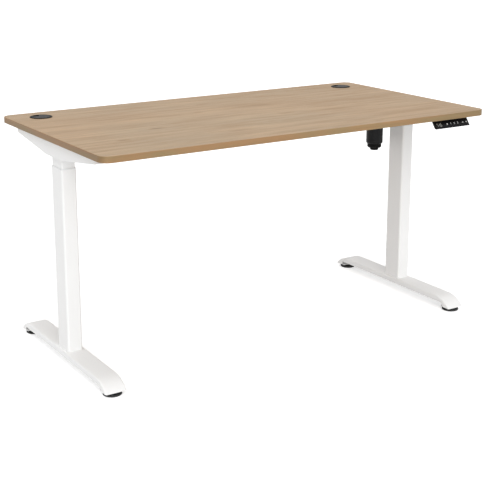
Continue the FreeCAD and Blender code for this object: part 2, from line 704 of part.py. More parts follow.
def side_bracket(side_name, side):
    """A dish of folded sheet, open below, deepest at the column and tapering to both ends."""
    x = f"{side} * leg_x"
    dish = new_body(f"Bracket{side_name}", x, "frame_y", "bracket_top")
    end, flat = "bracket_length / 2", "bracket_flat / 2"
    outside = plane_sketch(dish, "YZ_Plane")
    polygon(outside, [(end, "0"), (f"-{end}", "0"), (f"-{end}", "-bracket_end"),
                      (f"-{flat}", "-bracket_deep"), (flat, "-bracket_deep"), (end, "-bracket_end")])
    pad(dish, outside, "bracket_width", symmetric=True)
    half = number("bracket_width") / 2
    round_edges(dish, "bracket_bend", lambda middle, along: near(abs(along.y), 1)
                and near(abs(middle.x), half) and near(middle.z, 0))
    inside = plane_sketch(dish, "YZ_Plane")
    inner_end = f"({end} - bracket_sheet)"
    polygon(inside, [(inner_end, "-bracket_sheet"), (f"-{inner_end}", "-bracket_sheet"),
                     (f"-{inner_end}", f"-bracket_deep - {THROUGH}"),
                     (inner_end, f"-bracket_deep - {THROUGH}")])
    pocket(dish, inside, "bracket_width - 2 * bracket_sheet")

    wall_x = f"{x} - {side} * (bracket_width - bracket_sheet) / 2"
    tools = [rod(x, f"frame_y + {row}", f"rail_top - {THROUGH}", "wood_screw + hole_play",
                 f"bracket_sheet + 2 * {THROUGH}") for row in bracket_screw_rows()]
    for end_sign in ENDS.values():
        tools.append(block(wall_x, f"frame_y + {end_sign} * rail_y",
                           f"bracket_top - bracket_deep - {THROUGH}", f"bracket_sheet + {THROUGH}",
                           "rail_width + 2 * rail_gap", f"bracket_deep - bracket_sheet + {THROUGH}"))
    for bolt_x, bolt_y in bolt_square(RAIL_BOLTS, "rail_spacing"):
        tools.append(rod(f"{x} + {bolt_x}", f"frame_y + {bolt_y}", f"rail_top - {THROUGH}",
                         f"bolt_diameter + 2 * {FITTING_PLAY}", f"bracket_sheet + 2 * {THROUGH}"))
    reach = "bracket_sheet + 2 * case_play"
    tools.append(rod(f"{wall_x} - ({reach}) / 2", "frame_y", "shaft_axis", "hub_diameter + 2 * case_play",
                     reach, ACROSS))
    node(f"side_bracket_{side_name}", less(dish, *tools))


def pad_strip(x):
    """Rubber between a side bracket and the desktop, with holes for the screws."""
    strip = block(x, "frame_y", "bracket_top", "bracket_width - 2 * strip_inset",
                  "bracket_length - strip_inset", "pad_strip")
    holes = [rod(x, f"frame_y + {row}", f"bracket_top - {THROUGH}", "wood_screw + hole_play",
                 f"pad_strip + 2 * {THROUGH}") for row in bracket_screw_rows()]
    return less(strip, *holes)


def rail(name, from_x, to_x, y, inset, drills):
    """A crossbeam rail from one x to another, set in from the outer rail's size."""
    place = (from_x, y, "plate_top + rail_height / 2")
    height, width = f"rail_height - 2 * ({inset})", f"rail_width - 2 * ({inset})"
    box = tube(name, place, height, width, f"rail_corner - ({inset})", "rail_wall",
               f"({to_x}) - ({from_x})", ACROSS)
    return less(box, *drills)


def drill(x, y, height, play="hole_play"):
    """A bolt hole upwards through a rail, from below its underside."""
    return rod(x, y, f"plate_top - {THROUGH}", f"bolt_diameter + {play}", f"{height} + {THROUGH}")


def crossbeam():
    """Two rails of three lengths; the middle length slides in the outer ones and is bolted."""
    clamp_x = "(rail_end + rail_overlap / 4)"
    for end_name, end in ENDS.items():
        y = f"frame_y + {end} * rail_y"
        for side_name, side in SIDES.items():
            drills = [drill(f"{side} * leg_x + {sign} * {RAIL_BOLTS} / 2", y, f"rail_height + {THROUGH}")
                      for sign in SIDES.values()]
            drills.append(drill(f"{side} * {clamp_x}", y, "rail_wall + rail_gap / 2"))
            if side > 0:
                drills += [drill(f"motor_x + {sign} * motor_bolts / 2", y, "rail_height / 2")
                           for sign in SIDES.values()]
            ends = sorted((f"{side} * (leg_x + rail_start)", f"{side} * rail_end"), key=number)
            label = f"rail_{side_name}_{end_name}"
            node(label, rail("Rail", *ends, y, "0", drills))
        clamps = [drill(f"{side} * {clamp_x}", y, "rail_height / 2", 2 * FITTING_PLAY)
                  for side in SIDES.values()]
        node(f"rail_middle_{end_name}",
             rail("MiddleRail", "-middle_end", "middle_end", y, "rail_wall + rail_gap", clamps))
    return clamp_x


# ---------------------------------------------------------------------------------------------
# Drive: straight bevel gears whose teeth run to the crossing point of the two shafts
# ---------------------------------------------------------------------------------------------
PRESSURE_ANGLE = math.radians(20)
ROOT_DEPTH = 1.25        # tooth root below the pitch circle, in modules
FLANK_STEPS = (0.35, 0.7, 1)   # points of a flank between base and tip
SHAFT_END = 0.75         # drive shaft's ends from the column axes, in pitch radii
JOURNAL_END = 0.5        # lead screw's end below the drive shaft's axis, in pitch radii


def tooth_section(half_pitch):
    """Gear outline as (slope, angle) pairs: radius over distance from the apex, round the axis.

    The flanks are involutes of the equivalent spur gear on the back cone of a 45 degree bevel gear.
    half_pitch turns the outline so that a space faces the local X axis instead of a tooth.
    """
    teeth, module = int(number("gear_teeth")), number("gear_module")
    pitch = module * teeth / 2
    cone = pitch * math.sqrt(2)
    base = cone * math.cos(PRESSURE_ANGLE)
    root, tip = cone - ROOT_DEPTH * module, cone + module
    half_tooth = (math.pi * module / 2 - number("gear_backlash") / 2) / (2 * cone)
    involute = math.tan(PRESSURE_ANGLE) - PRESSURE_ANGLE

    def half_angle(radius):
        pressure = math.acos(base / max(radius, base))
        return half_tooth + involute - (math.tan(pressure) - pressure)

    radii = [root, base] + [base + (tip - base) * share for share in FLANK_STEPS]
    flank = [(radius, -half_angle(radius)) for radius in radii]
    tooth = flank + [(radius, -angle) for radius, angle in reversed(flank)]
    outline = []
    for count in range(teeth):
        centre = 2 * math.pi * (count + (0.5 if half_pitch else 0)) / teeth
        for radius, angle in tooth:
            distance = 2 * pitch - radius * math.sqrt(0.5)
            outline.append((radius * math.sqrt(0.5) / distance, centre + angle * math.sqrt(2)))
    return outline


def toothed_cone(section, low, high):
    """The section drawn from the apex at the origin, between two heights."""
    rings = [[Vector(slope * height * math.cos(angle), slope * height * math.sin(angle), height)
              for slope, angle in section] for height in (low, high)]
    faces = [Part.Face(Part.makePolygon(ring + ring[:1])) for ring in rings]
    for step, near_point in enumerate(rings[0]):
        after = (step + 1) % len(section)
        corners = [near_point, rings[0][after], rings[1][after], rings[1][step], near_point]
        faces.append(Part.Face(Part.makePolygon(corners)))
    solid = Part.makeSolid(Part.makeShell(faces))
    return solid if solid.Volume > 0 else solid.reversed()


def spun(points):
    """The solid that radius and height pairs sweep round the Z axis."""
    outline = Part.makePolygon([Vector(x, 0, z) for x, z in points + points[:1]])
    return Part.Face(outline).revolve(Vector(), Vector(0, 0, 1), 360)


def bevel_gear(half_pitch, hub_end, bore):
    """A 45 degree bevel gear: apex at the origin, back towards +Z, its hub ending at hub_end."""
    module = number("gear_module")
    pitch = module * number("gear_teeth") / 2
    inner = 1 - number("gear_face") / (pitch * math.sqrt(2))
    up, down = module * math.sqrt(0.5), ROOT_DEPTH * module * math.sqrt(0.5)
    tip, root = (pitch + up, pitch - up), (pitch - down, pitch + down)
    blank = spun([(0, root[1] * inner), (root[0] * inner, root[1] * inner),
                  (tip[0] * inner, tip[1] * inner), tip, root, (0, root[1])])
    teeth = toothed_cone(tooth_section(half_pitch), tip[1] * inner - MERGE, root[1] + MERGE)
    hub_start = root[1] - MERGE
    hub = Part.makeCylinder(number("hub_diameter") / 2, hub_end - hub_start, Vector(0, 0, hub_start))
    return teeth.common(blank).fuse(hub).cut(bore).removeSplitter()


def gear_node(name, shape, side, axis, mesh):
    """Stand a gear on a column's crossing point: its back along axis, its local X towards mesh."""
    feature = doc.addObject("Part::Feature", name)
    feature.Shape = shape
    turn = Rotation(mesh, axis.cross(mesh), axis, "ZXY")
    node(name, put(feature, f"{side} * leg_x", "frame_y", "shaft_axis", turn))


def gearing(side_name, side):
    """One column's lead screw, its bevel gear and the gear on the drive shaft that turns it."""
    x = f"{side} * leg_x"
    journal = number("journal_diameter")
    inwards, down = Vector(-side, 0, 0), Vector(0, 0, -1)
    floor = number("shaft_over_plate - case_wall - running_gap")
    round_bore = Part.makeCylinder(journal / 2 + FITTING_PLAY, floor + THROUGH)
    gear_node(f"output_bevel_{side_name}", bevel_gear(False, floor, round_bore), side, down, inwards)

    hub_end = number("case_width / 2 + hub_through")
    across = number("shaft_across") + 2 * FITTING_PLAY
    rim = [Vector(across / math.sqrt(3) * math.cos(turn), across / math.sqrt(3) * math.sin(turn), 0)
           for turn in (math.radians(60 * count) for count in range(7))]
    hex_bore = Part.Face(Part.makePolygon(rim)).extrude(Vector(0, 0, hub_end + THROUGH))
    gear_node(f"input_bevel_{side_name}", bevel_gear(True, hub_end, hex_bore), side, inwards, down)

    start = "foot_height + base_plate + screw_start"
    shoulder = "plate_under - bearing_height - running_gap"
    top = f"shaft_axis - gear_module * gear_teeth / 2 * {JOURNAL_END}"
    spindle = rod(x, "frame_y", start, "screw_diameter", f"{shoulder} - ({start})")
    neck = rod(x, "frame_y", shoulder, "journal_diameter", f"{top} - ({shoulder})")
    node(f"lead_screw_{side_name}", fused(spindle, neck))


def gear_case(side_name, side):
    """A block between head plate and bracket, bored out for the two gears."""
    x = f"{side} * leg_x"
    chamber = "2 * (gear_reach + case_play)"
    outside = slab(f"GearCase{side_name}", x, "frame_y", "plate_top", "case_width", "case_depth",
                   "case_corner", "rail_height")
    upright = rod(x, "frame_y", "plate_top + case_wall", chamber, "rail_height - 2 * case_wall")
    turn = Rotation(Vector(0, 1, 0), -90 * side)
    level = rod(x, "frame_y", "shaft_axis", chamber, "case_width / 2 - shaft_bearing_width", turn)
    seat = rod(x, "frame_y", "shaft_axis", f"shaft_bearing + 2 * {FITTING_PLAY}",
               f"case_width / 2 + {THROUGH}", turn)
    entry = rod(x, "frame_y", f"plate_top - {THROUGH}", "journal_diameter + 2 * journal_room",
                f"case_wall + 2 * {THROUGH}")
    node(f"gear_case_{side_name}", less(outside, upright, level, seat, entry))


def bearing(place, diameter, shaft, width, turn=None):
    """A bearing seated on a shaft of the given diameter."""
    return less(rod(*place, diameter, width, turn),
                rod(*place, f"{shaft} + 2 * {FITTING_PLAY}", width, turn))


def bearings():
    """A thrust bearing under each head plate and a shaft bearing in each gear case."""
    rings = []
    for side in SIDES.values():
        x = f"{side} * leg_x"
        upright = (x, "frame_y", "plate_under - bearing_height")
        rings.append(bearing(upright, "bearing_diameter", "journal_diameter", "bearing_height"))
        level = (f"{x} - {side} * (case_width / 2 - shaft_bearing_width)", "frame_y", "shaft_axis")
        rings.append(bearing(level, "shaft_bearing", "hub_diameter", "shaft_bearing_width",
                             Rotation(Vector(0, 1, 0), -90 * side)))
    node("bearings", group(*rings))


def drive_shaft():
    start = f"gear_module * gear_teeth / 2 * {SHAFT_END} - leg_x"
    shaft = hexagon(start, "frame_y", "shaft_axis", "shaft_across", f"-2 * ({start})", ACROSS)
    node("hex_shaft", shaft)


# ---------------------------------------------------------------------------------------------
# Motor
# ---------------------------------------------------------------------------------------------
def motor():
    """Gear housing between the rails on a plate under them; the can hangs below."""
    housing = slab("MotorHousing", "motor_x", "frame_y", "plate_top", "motor_housing",
                   "rail_spacing - rail_width", "case_corner", "rail_height")
    plate = slab("MotorPlate", "motor_x", "frame_y", "motor_top", "motor_plate_length",
                 "rail_spacing + rail_width", "case_corner", "motor_plate")
    tools = [rod(f"motor_x - motor_housing / 2 - {THROUGH}", "frame_y", "shaft_axis", "shaft_hole",
                 f"motor_housing + 2 * {THROUGH}", ACROSS)]
    for bolt_x, bolt_y in bolt_square("motor_bolts", "rail_spacing"):
        tools.append(rod(f"motor_x + {bolt_x}", f"frame_y + {bolt_y}", f"motor_top - {THROUGH}",
                         "bolt_diameter + hole_play", f"motor_plate + 2 * {THROUGH}"))
    node("motor_gearcase", less(fused(housing, plate), *tools))

    rim, step, tip = "motor_diameter / 2", "motor_step / 2", "motor_tip / 2"
    can = new_body("MotorCan", "motor_x", "motor_y", "motor_top - motor_length")
    node("motor_can", turned(can, [
        ("0", "0"), (f"{rim} - motor_chamfer", "0"), (rim, "motor_chamfer"), (rim, "motor_length"),
        ("0", "motor_length")]))
    cap = new_body("MotorEnd", "motor_x", "motor_y", "motor_top - motor_length - step_height")
    node("motor_end_cap", turned(cap, [
        ("0", "-tip_height"), (f"{tip} - tip_chamfer", "-tip_height"),
        (tip, "tip_chamfer - tip_height"), (tip, "0"), (f"{step} - motor_chamfer", "0"),
        (step, "motor_chamfer"), (step, "step_height"), ("0", "step_height")]))


# ---------------------------------------------------------------------------------------------
# Control box
# ---------------------------------------------------------------------------------------------
SOCKETS = [  # side, offset along the end wall, width, height, depth
    (-1, -20, 24, 16, 14),
    (1, -22, 18, 12, 12),
    (1, 14, 13, 12, 12),
]


def control_box():
    """A tray with sockets in its end walls, hung from a lid whose lugs are screwed to the desktop."""
    base = "board_under - box_height"
    tray = slab("Tray", 0, "box_y", base, "box_width", "box_depth", "box_corner", "box_height - box_wall")
    hollow = slab("TrayHollow", 0, "box_y", f"{base} + box_wall", "box_width - 2 * box_wall",
                  "box_depth - 2 * box_wall", "box_corner - box_wall", "box_height - box_wall")
    shells, recesses = [], []
    for side, offset, width, height, depth in SOCKETS:
        y, z = f"box_y + {offset}", f"{base} + socket_lift"
        inner_x = f"{side} * (box_width / 2 - ({depth} + box_wall) / 2)"
        shells.append(block(inner_x, y, f"{z} - box_wall", f"{depth} + box_wall", f"{width} + 2 * box_wall",
                            f"{height} + 2 * box_wall"))
        mouth_x = f"{side} * (box_width / 2 - ({depth} - {THROUGH}) / 2)"
        recesses.append(block(mouth_x, y, z, f"{depth} + {THROUGH}", width, height))
    node("control_box_case", less(fused(less(tray, hollow), *shells), *recesses))

    lid = slab("Lid", 0, "box_y", "board_under - box_wall", "box_width + 2 * lug_length", "box_depth",
               "box_corner", "box_wall")
    holes = [screw_hole(x, y, f"{seat} - {THROUGH}", f"box_wall + 2 * {THROUGH}", "hole_play")
             for x, y, seat in LUG_SCREWS]
    node("control_box_lid", less(lid, *holes))


# ---------------------------------------------------------------------------------------------
# Handset: its face leans back from the lower lip; face pieces are placed in the face's own frame
# ---------------------------------------------------------------------------------------------
TILT = Rotation(Vector(0, 0, 1), Vector(0, -number("face_rise"), number("face_lean")))
COS, SIN = "face_lean / face_length", "face_rise / face_length"
BUTTONS = [  # name, centre from the handset's left end, diameter
    ("button_memory", 52.5, "button_diameter"),
    ("button_1", 68, "button_diameter"),
    ("button_2", 83, "button_diameter"),
    ("button_3", 98, "button_diameter"),
    ("button_up", 120.5, "arrow_diameter"),
    ("button_down", 136, "arrow_diameter"),
]
DISPLAY = (18.5, 30, 15)   # centre from the handset's left end, width, height


def on_face(piece, along, up, out):
    """Place a piece by its distance from the handset's left end, up the face and out of it."""
    return put(piece, f"handset_x - handset_width / 2 + {along}",
               f"lip_y + ({up}) * {COS} - ({out}) * {SIN}",
               f"lip_z + ({up}) * {SIN} + ({out}) * {COS}", TILT)


def face_block(along, up, out, length, width, height):
    """A box on the face with its lowest corner at the given place."""
    box = bind(doc.addObject("Part::Box", "FaceBlock"), Length=length, Width=width, Height=height)
    return on_face(box, along, up, out)


def face_rod(along, diameter, out, height):
    """A round piece square to the face, on the face's middle line."""
    cylinder = bind(doc.addObject("Part::Cylinder", "FaceRod"), Radius=f"({diameter}) / 2", Height=height)
    return on_face(cylinder, along, "face_length / 2", out)


def handset():
    shell = new_body("HandsetShell", "handset_x", "lip_y", "lip_z")
    sketch = plane_sketch(shell, "YZ_Plane")
    polygon(sketch, [("0", "0"), ("face_lean", "face_rise"), ("face_lean", "face_drop"),
                     ("handset_depth", "face_drop"), ("handset_depth", "handset_heel"),
                     ("handset_sole + handset_heel * face_lean / face_rise", "handset_heel"),
                     ("handset_sole", "0")])
    pad(shell, sketch, "handset_width", symmetric=True)
    tools = [face_block("face_rim", "face_rim", "-face_plate", "handset_width - 2 * face_rim",
                        "face_length - 2 * face_rim", f"face_plate + {THROUGH}")]
    for _, along, width in BUTTONS:
        tools.append(face_rod(along, f"{width} + 2 * button_flange + 2 * running_gap",
                              "-face_plate - button_room", f"button_room + {THROUGH}"))
    for x, y, seat in HANDSET_SCREWS:
        tools.append(rod(x, y, f"lip_z - {THROUGH}", "wood_screw_head + hole_play",
                         f"{seat} - lip_z + {THROUGH}"))
        tools.append(screw_hole(x, y, f"{seat} - {THROUGH}", f"board_under - ({seat}) + 2 * {THROUGH}",
                                "hole_play"))
    node("handset_case", less(shell, *tools))

    play = FITTING_PLAY
    plate = face_block(f"face_rim + {play}", f"face_rim + {play}", "-face_plate",
                       f"handset_width - 2 * face_rim - {2 * play}",
                       f"face_length - 2 * face_rim - {2 * play}", "face_plate")
    holes = [face_rod(along, f"{width} + 2 * running_gap", f"-face_plate - {THROUGH}",
                      f"face_plate + 2 * {THROUGH}") for _, along, width in BUTTONS]
    centre, width, height = DISPLAY
    window_place = (centre - width / 2, f"face_length / 2 - {height / 2}")
    holes.append(face_block(*window_place, f"-face_plate - {THROUGH}", width, height,
                            f"face_plate + 2 * {THROUGH}"))
    node("handset_face", less(plate, *holes))
    node("display_window", face_block(f"{window_place[0]} + {play}", f"{window_place[1]} + {play}",
                                      "-face_plate", f"{width} - {2 * play}", f"{height} - {2 * play}",
                                      "face_plate - window_sink"))

    for name, along, width in BUTTONS:
        flange_top = "-face_plate - running_gap"
        stem = face_rod(along, width, flange_top, "face_plate + running_gap + button_proud")
        flange = face_rod(along, f"{width} + 2 * button_flange", f"{flange_top} - button_flange",
                          "button_flange")
        node(name, fused(stem, flange))


# ---------------------------------------------------------------------------------------------
# Assembly
# ---------------------------------------------------------------------------------------------
def frame_bolts(clamp_x):
    bolts = []
    for side in SIDES.values():
        for x, y in bolt_square(RAIL_BOLTS, "rail_spacing"):
            bolts.append(bolt(f"{side} * leg_x + {x}", f"frame_y + {y}", "plate_under",
                              "bracket_top - plate_under"))
        for end in ENDS.values():
            bolts.append(bolt(f"{side} * {clamp_x}", f"frame_y + {end} * rail_y", "plate_top",
                              "2 * rail_wall + rail_gap + bolt_end"))
    for x, y in bolt_square("motor_bolts", "rail_spacing"):
        bolts.append(bolt(f"motor_x + {x}", f"frame_y + {y}", "motor_top",
                          "motor_plate + rail_wall + bolt_end"))
    node("frame_bolts", group(*bolts))


def foot_bolts():
    bolts = []
    for side in SIDES.values():
        for x, y in bolt_square("foot_bolt_x", "foot_bolt_y"):
            bolts.append(bolt(f"{side} * leg_x + {x}", f"frame_y + {y}", "foot_height - foot_sheet",
                              "foot_sheet + base_plate + bolt_end"))
    node("foot_bolts", group(*bolts))


def build():
    desktop()
    shoes = []
    for side_name, side in SIDES.items():
        grommet(side_name, side)
        foot(side_name, side)
        lower_column(side_name, side)
        shoes.append(upper_column(side_name, side))
        side_bracket(side_name, side)
        gear_case(side_name, side)
        gearing(side_name, side)
    node("tube_glides", group(*shoes))
    node("frame_pads", group(*(pad_strip(f"{side} * leg_x") for side in SIDES.values())))
    bearings()
    drive_shaft()
    motor()
    control_box()
    handset()
    frame_bolts(crossbeam())
    foot_bolts()


build()
doc.recompute()
for item in doc.Objects:
    if "Invalid" in item.State or "Error" in item.State:
        raise RuntimeError(f"{item.Label} did not build: {item.State}")
os.makedirs("parts", exist_ok=True)
for name, piece in nodes.items():
    if piece.Shape.isNull() or not piece.Shape.isValid() or not piece.Shape.Solids:
        raise RuntimeError(f"{name} has no valid shape")
    piece.Shape.exportStep(f"parts/{name}.step")
print(len(nodes), "sub-parts")
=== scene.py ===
import json
import math

import bmesh
import bpy
from mathutils import Matrix, Vector


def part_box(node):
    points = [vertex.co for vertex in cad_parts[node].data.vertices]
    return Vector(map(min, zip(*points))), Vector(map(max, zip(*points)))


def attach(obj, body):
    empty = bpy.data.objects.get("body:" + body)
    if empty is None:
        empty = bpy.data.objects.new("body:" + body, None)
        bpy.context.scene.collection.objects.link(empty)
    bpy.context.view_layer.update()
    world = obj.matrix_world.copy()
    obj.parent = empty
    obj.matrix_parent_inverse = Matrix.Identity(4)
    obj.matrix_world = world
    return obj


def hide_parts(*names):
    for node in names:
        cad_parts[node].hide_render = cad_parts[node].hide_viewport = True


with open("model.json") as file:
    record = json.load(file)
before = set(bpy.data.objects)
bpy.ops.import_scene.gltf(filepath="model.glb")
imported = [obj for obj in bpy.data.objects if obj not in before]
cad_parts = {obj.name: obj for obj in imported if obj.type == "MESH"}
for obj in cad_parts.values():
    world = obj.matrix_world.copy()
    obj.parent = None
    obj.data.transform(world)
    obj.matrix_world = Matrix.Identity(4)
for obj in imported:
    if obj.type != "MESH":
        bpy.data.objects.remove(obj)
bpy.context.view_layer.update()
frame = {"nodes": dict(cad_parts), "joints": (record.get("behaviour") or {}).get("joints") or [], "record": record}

# A height adjustable standing desk. Metres; X along the desktop's width, the user sits at -Y, Z is up.

NODES = frame["nodes"]
JOINTS = {joint["name"]: joint for joint in frame["joints"]}
# Sides, as the CAD nodes' names carry them.
SIDES = ("left", "right")
X, Y, Z = Vector((1, 0, 0)), Vector((0, 1, 0)), Vector((0, 0, 1))
MM = 0.001
IN_MM = Matrix.Scale(MM, 4)   # turns a place in metres into one whose axes count mm


# ---------------------------------------------------------------------------------------------
# Camera
# ---------------------------------------------------------------------------------------------
EYE = (-1.9106, -2.9610, 1.3315)   # where the camera stands
TILT, PAN = -13.35, -32.539        # degrees up from level, and to the left from facing +Y
SENSOR, LENS = 36, 81.38           # mm
LENS_SHIFT = -0.1322               # share of the picture's side
FAR_CLIP = 200


def add_camera():
    data = bpy.data.cameras.new("Camera")
    data.sensor_width = SENSOR
    data.lens = LENS
    data.shift_y = LENS_SHIFT
    data.clip_end = FAR_CLIP
    camera = bpy.data.objects.new("Camera", data)
    camera.location = EYE
    camera.rotation_euler = (math.radians(90 + TILT), 0, math.radians(PAN))
    bpy.context.scene.collection.objects.link(camera)
    bpy.context.scene.camera = camera


# ---------------------------------------------------------------------------------------------
# Materials: one Principled shader each, with its colour, roughness and relief from nodes
# ---------------------------------------------------------------------------------------------
class Surface:
    """A node material, with calls that add nodes to it and hand back their output sockets."""

    def __init__(self, name, colour, roughness, **constants):
        self.material = bpy.data.materials.new(name)
        self.material.use_nodes = True
        self.tree = self.material.node_tree
        self.shader = self.tree.nodes["Principled BSDF"]
        self.shader.inputs["Base Color"].default_value = (*colour, 1)
        self.shader.inputs["Roughness"].default_value = roughness
        for socket, value in constants.items():
            self.shader.inputs[socket_name(socket)].default_value = value
        self.place = self.add("ShaderNodeTexCoord").outputs["Object"]

    def add(self, kind, inputs=None, **settings):
        node = self.tree.nodes.new(kind)
        for name, value in settings.items():
            setattr(node, name, value)
        for socket, value in (inputs or {}).items():
            if isinstance(value, bpy.types.NodeSocket):
                self.tree.links.new(value, node.inputs[socket])
            else:
                node.inputs[socket].default_value = value
        return node

    def math(self, operation, first, second=0.0, third=0.0):
        inputs = {0: first, 1: second, 2: third}
        return self.add("ShaderNodeMath", inputs, operation=operation).outputs[0]

    def vector(self, operation, first, second=(0, 0, 0), third=(0, 0, 0)):
        inputs = {0: first, 1: second, 2: third}
        node = self.add("ShaderNodeVectorMath", inputs, operation=operation)
        return node.outputs["Value" if operation == "LENGTH" else "Vector"]

    def noise(self, per_metre, detail=2.0, place=None, distortion=0.0, seed=0.0):
        """Noise from 0 to 1 with so many features to the metre along X, Y and Z."""
        scaled = self.vector("MULTIPLY_ADD", place or self.place, per_metre, (seed, seed, seed))
        inputs = {"Vector": scaled, "Scale": 1.0, "Detail": detail, "Distortion": distortion}
        return self.add("ShaderNodeTexNoise", inputs).outputs[0]

    def rise(self, value, low, high, to_low=0.0, to_high=1.0):
        """value spread from low..high to to_low..to_high, smoothly and clamped."""
        inputs = {"Value": value, "From Min": low, "From Max": high, "To Min": to_low, "To Max": to_high}
        return self.add("ShaderNodeMapRange", inputs, interpolation_type="SMOOTHSTEP").outputs[0]

    def mix(self, factor, first, second):
        inputs = {0: factor, 6: colour4(first), 7: colour4(second)}
        return self.add("ShaderNodeMix", inputs, data_type="RGBA").outputs[2]

    def shade(self, colour, factor):
        """The colour times a factor socket."""
        inputs = {0: colour, "Scale": factor}
        return self.add("ShaderNodeVectorMath", inputs, operation="SCALE").outputs["Vector"]

    def relief(self, height, depth, strength=1.0):
        """Bump; calls after the first add to it."""
        inputs = {"Height": height, "Distance": depth, "Strength": strength}
        bump = self.add("ShaderNodeBump", inputs)
        normal = self.shader.inputs["Normal"]
        if normal.is_linked:
            self.tree.links.new(normal.links[0].from_socket, bump.inputs["Normal"])
        self.tree.links.new(bump.outputs[0], normal)

    def use(self, **sockets):
        """Let node outputs set the shader's inputs."""
        for name, value in sockets.items():
            self.tree.links.new(value, self.shader.inputs[socket_name(name)])


def socket_name(word):
    """The shader's own name for an input, such as Base Color for base_color."""
    return word.replace("_", " ").title().replace("Ior", "IOR")


def colour4(value):
    """A colour as a node input takes it: an output socket as it is, a plain colour with its alpha."""
    return value if isinstance(value, bpy.types.NodeSocket) else (*value, 1)


def srgb(red, green, blue):
    """A colour written as it looks on a screen, from 0 to 255, as linear light."""
    shares = (channel / 255 for channel in (red, green, blue))
    return tuple(c / 12.92 if c <= 0.04045 else ((c + 0.055) / 1.055) ** 2.4 for c in shares)


# Knots and flecks of the printed grain: x, y, half length and half width in metres, and depth of colour.
KNOTS = [
    (-0.548, -0.195, 0.030, 0.009, 0.46),
    (-0.381, -0.085, 0.034, 0.010, 0.50),
    (-0.190, -0.245, 0.046, 0.007, 0.36),
    (-0.135, 0.088, 0.034, 0.008, 0.20),
    (-0.042, 0.222, 0.036, 0.010, 0.24),
    (0.102, -0.075, 0.042, 0.010, 0.30),
    (0.128, 0.100, 0.030, 0.008, 0.18),
    (-0.022, -0.168, 0.024, 0.007, 0.16),
    (0.188, -0.165, 0.030, 0.008, 0.24),
    (0.305, -0.042, 0.050, 0.012, 0.16),
    (0.272, -0.342, 0.024, 0.007, 0.26),
    (0.470, 0.120, 0.028, 0.008, 0.18),
    (-0.480, 0.150, 0.030, 0.007, 0.14),
    (0.560, -0.255, 0.032, 0.008, 0.18),
]
KNOT_EDGE = (0.15, 1.15)   # where a knot's colour starts to fade and where it ends, in its half sizes
PARTING = 0.55             # how far the grain swings away from a knot's middle, as a share of its distance
PARTING_REACH = 5.0        # how far from a knot the grain still swings, in its half sizes


def wood_laminate():
    """Printed oak: bands, streaks and short pores along X that part round a few small knots, with painted shade
    darkening the board towards the right rear.
    """
    wood = Surface("wood_laminate", srgb(171, 138, 104), 0.46)
    axes = wood.add("ShaderNodeSeparateXYZ", {0: wood.place}).outputs
    along, across = axes["X"], axes["Y"]
    place, dark = wood.place, 0.0
    for x, y, half_length, half_width, depth in KNOTS:
        offset = wood.vector("SUBTRACT", wood.place, (x, y, 0))
        near = wood.vector("LENGTH", wood.vector("MULTIPLY", offset, (1 / half_length, 1 / half_width, 0)))
        dark = wood.math("ADD", dark, wood.rise(near, *KNOT_EDGE, depth, 0))
        swell = wood.math("MULTIPLY", wood.rise(near, 0.0, PARTING_REACH, 1, 0), PARTING)
        drift = wood.math("MULTIPLY", wood.math("SUBTRACT", across, y), swell)
        shift = wood.add("ShaderNodeCombineXYZ", {"Y": drift}).outputs[0]
        place = wood.vector("SUBTRACT", place, shift)

    bands = wood.noise((0.9, 11, 1), 2, place, seed=3)
    figure = wood.noise((3.4, 40, 1), 3, place, distortion=0.4, seed=19)
    streaks = wood.noise((5.5, 95, 1), 4, place, distortion=0.3, seed=11)
    lines = wood.noise((4, 300, 1), 4, place, seed=23)
    pores = wood.rise(wood.noise((20, 1300, 1), 2, place, seed=31), 0.50, 0.60)
    cloud = wood.noise((2.2, 3.5, 1), 2, seed=47)

    tone = wood.math("SUBTRACT", 1.0, dark)
    for layer, depth in ((bands, 0.18), (figure, 0.68), (streaks, 0.84), (lines, 0.42)):
        tone = wood.math("MULTIPLY", tone, wood.math("MULTIPLY_ADD", layer, depth, 1 - depth / 2))
    tone = wood.math("MULTIPLY", tone, wood.math("MULTIPLY_ADD", pores, -0.16, 1.05))
    # Painted shade: the colour falls off towards the right rear (+X, +Y), standing in for less light reaching that
    # end of the top.
    tone = wood.math("MULTIPLY", tone, wood.rise(wood.math("ADD", along, across), -0.5, 0.9, 1.03, 0.90))
    hue = wood.mix(wood.rise(cloud, 0.3, 0.7), srgb(166, 135, 98), srgb(161, 136, 103))
    hue = wood.mix(wood.rise(tone, 0.78, 1.0), srgb(172, 133, 83), hue)
    wood.use(base_color=wood.shade(hue, tone), roughness=wood.rise(lines, 0.3, 0.7, 0.43, 0.50))
    wood.relief(pores, -0.00006, 0.5)
    wood.relief(lines, 0.00003, 0.3)
    return wood.material


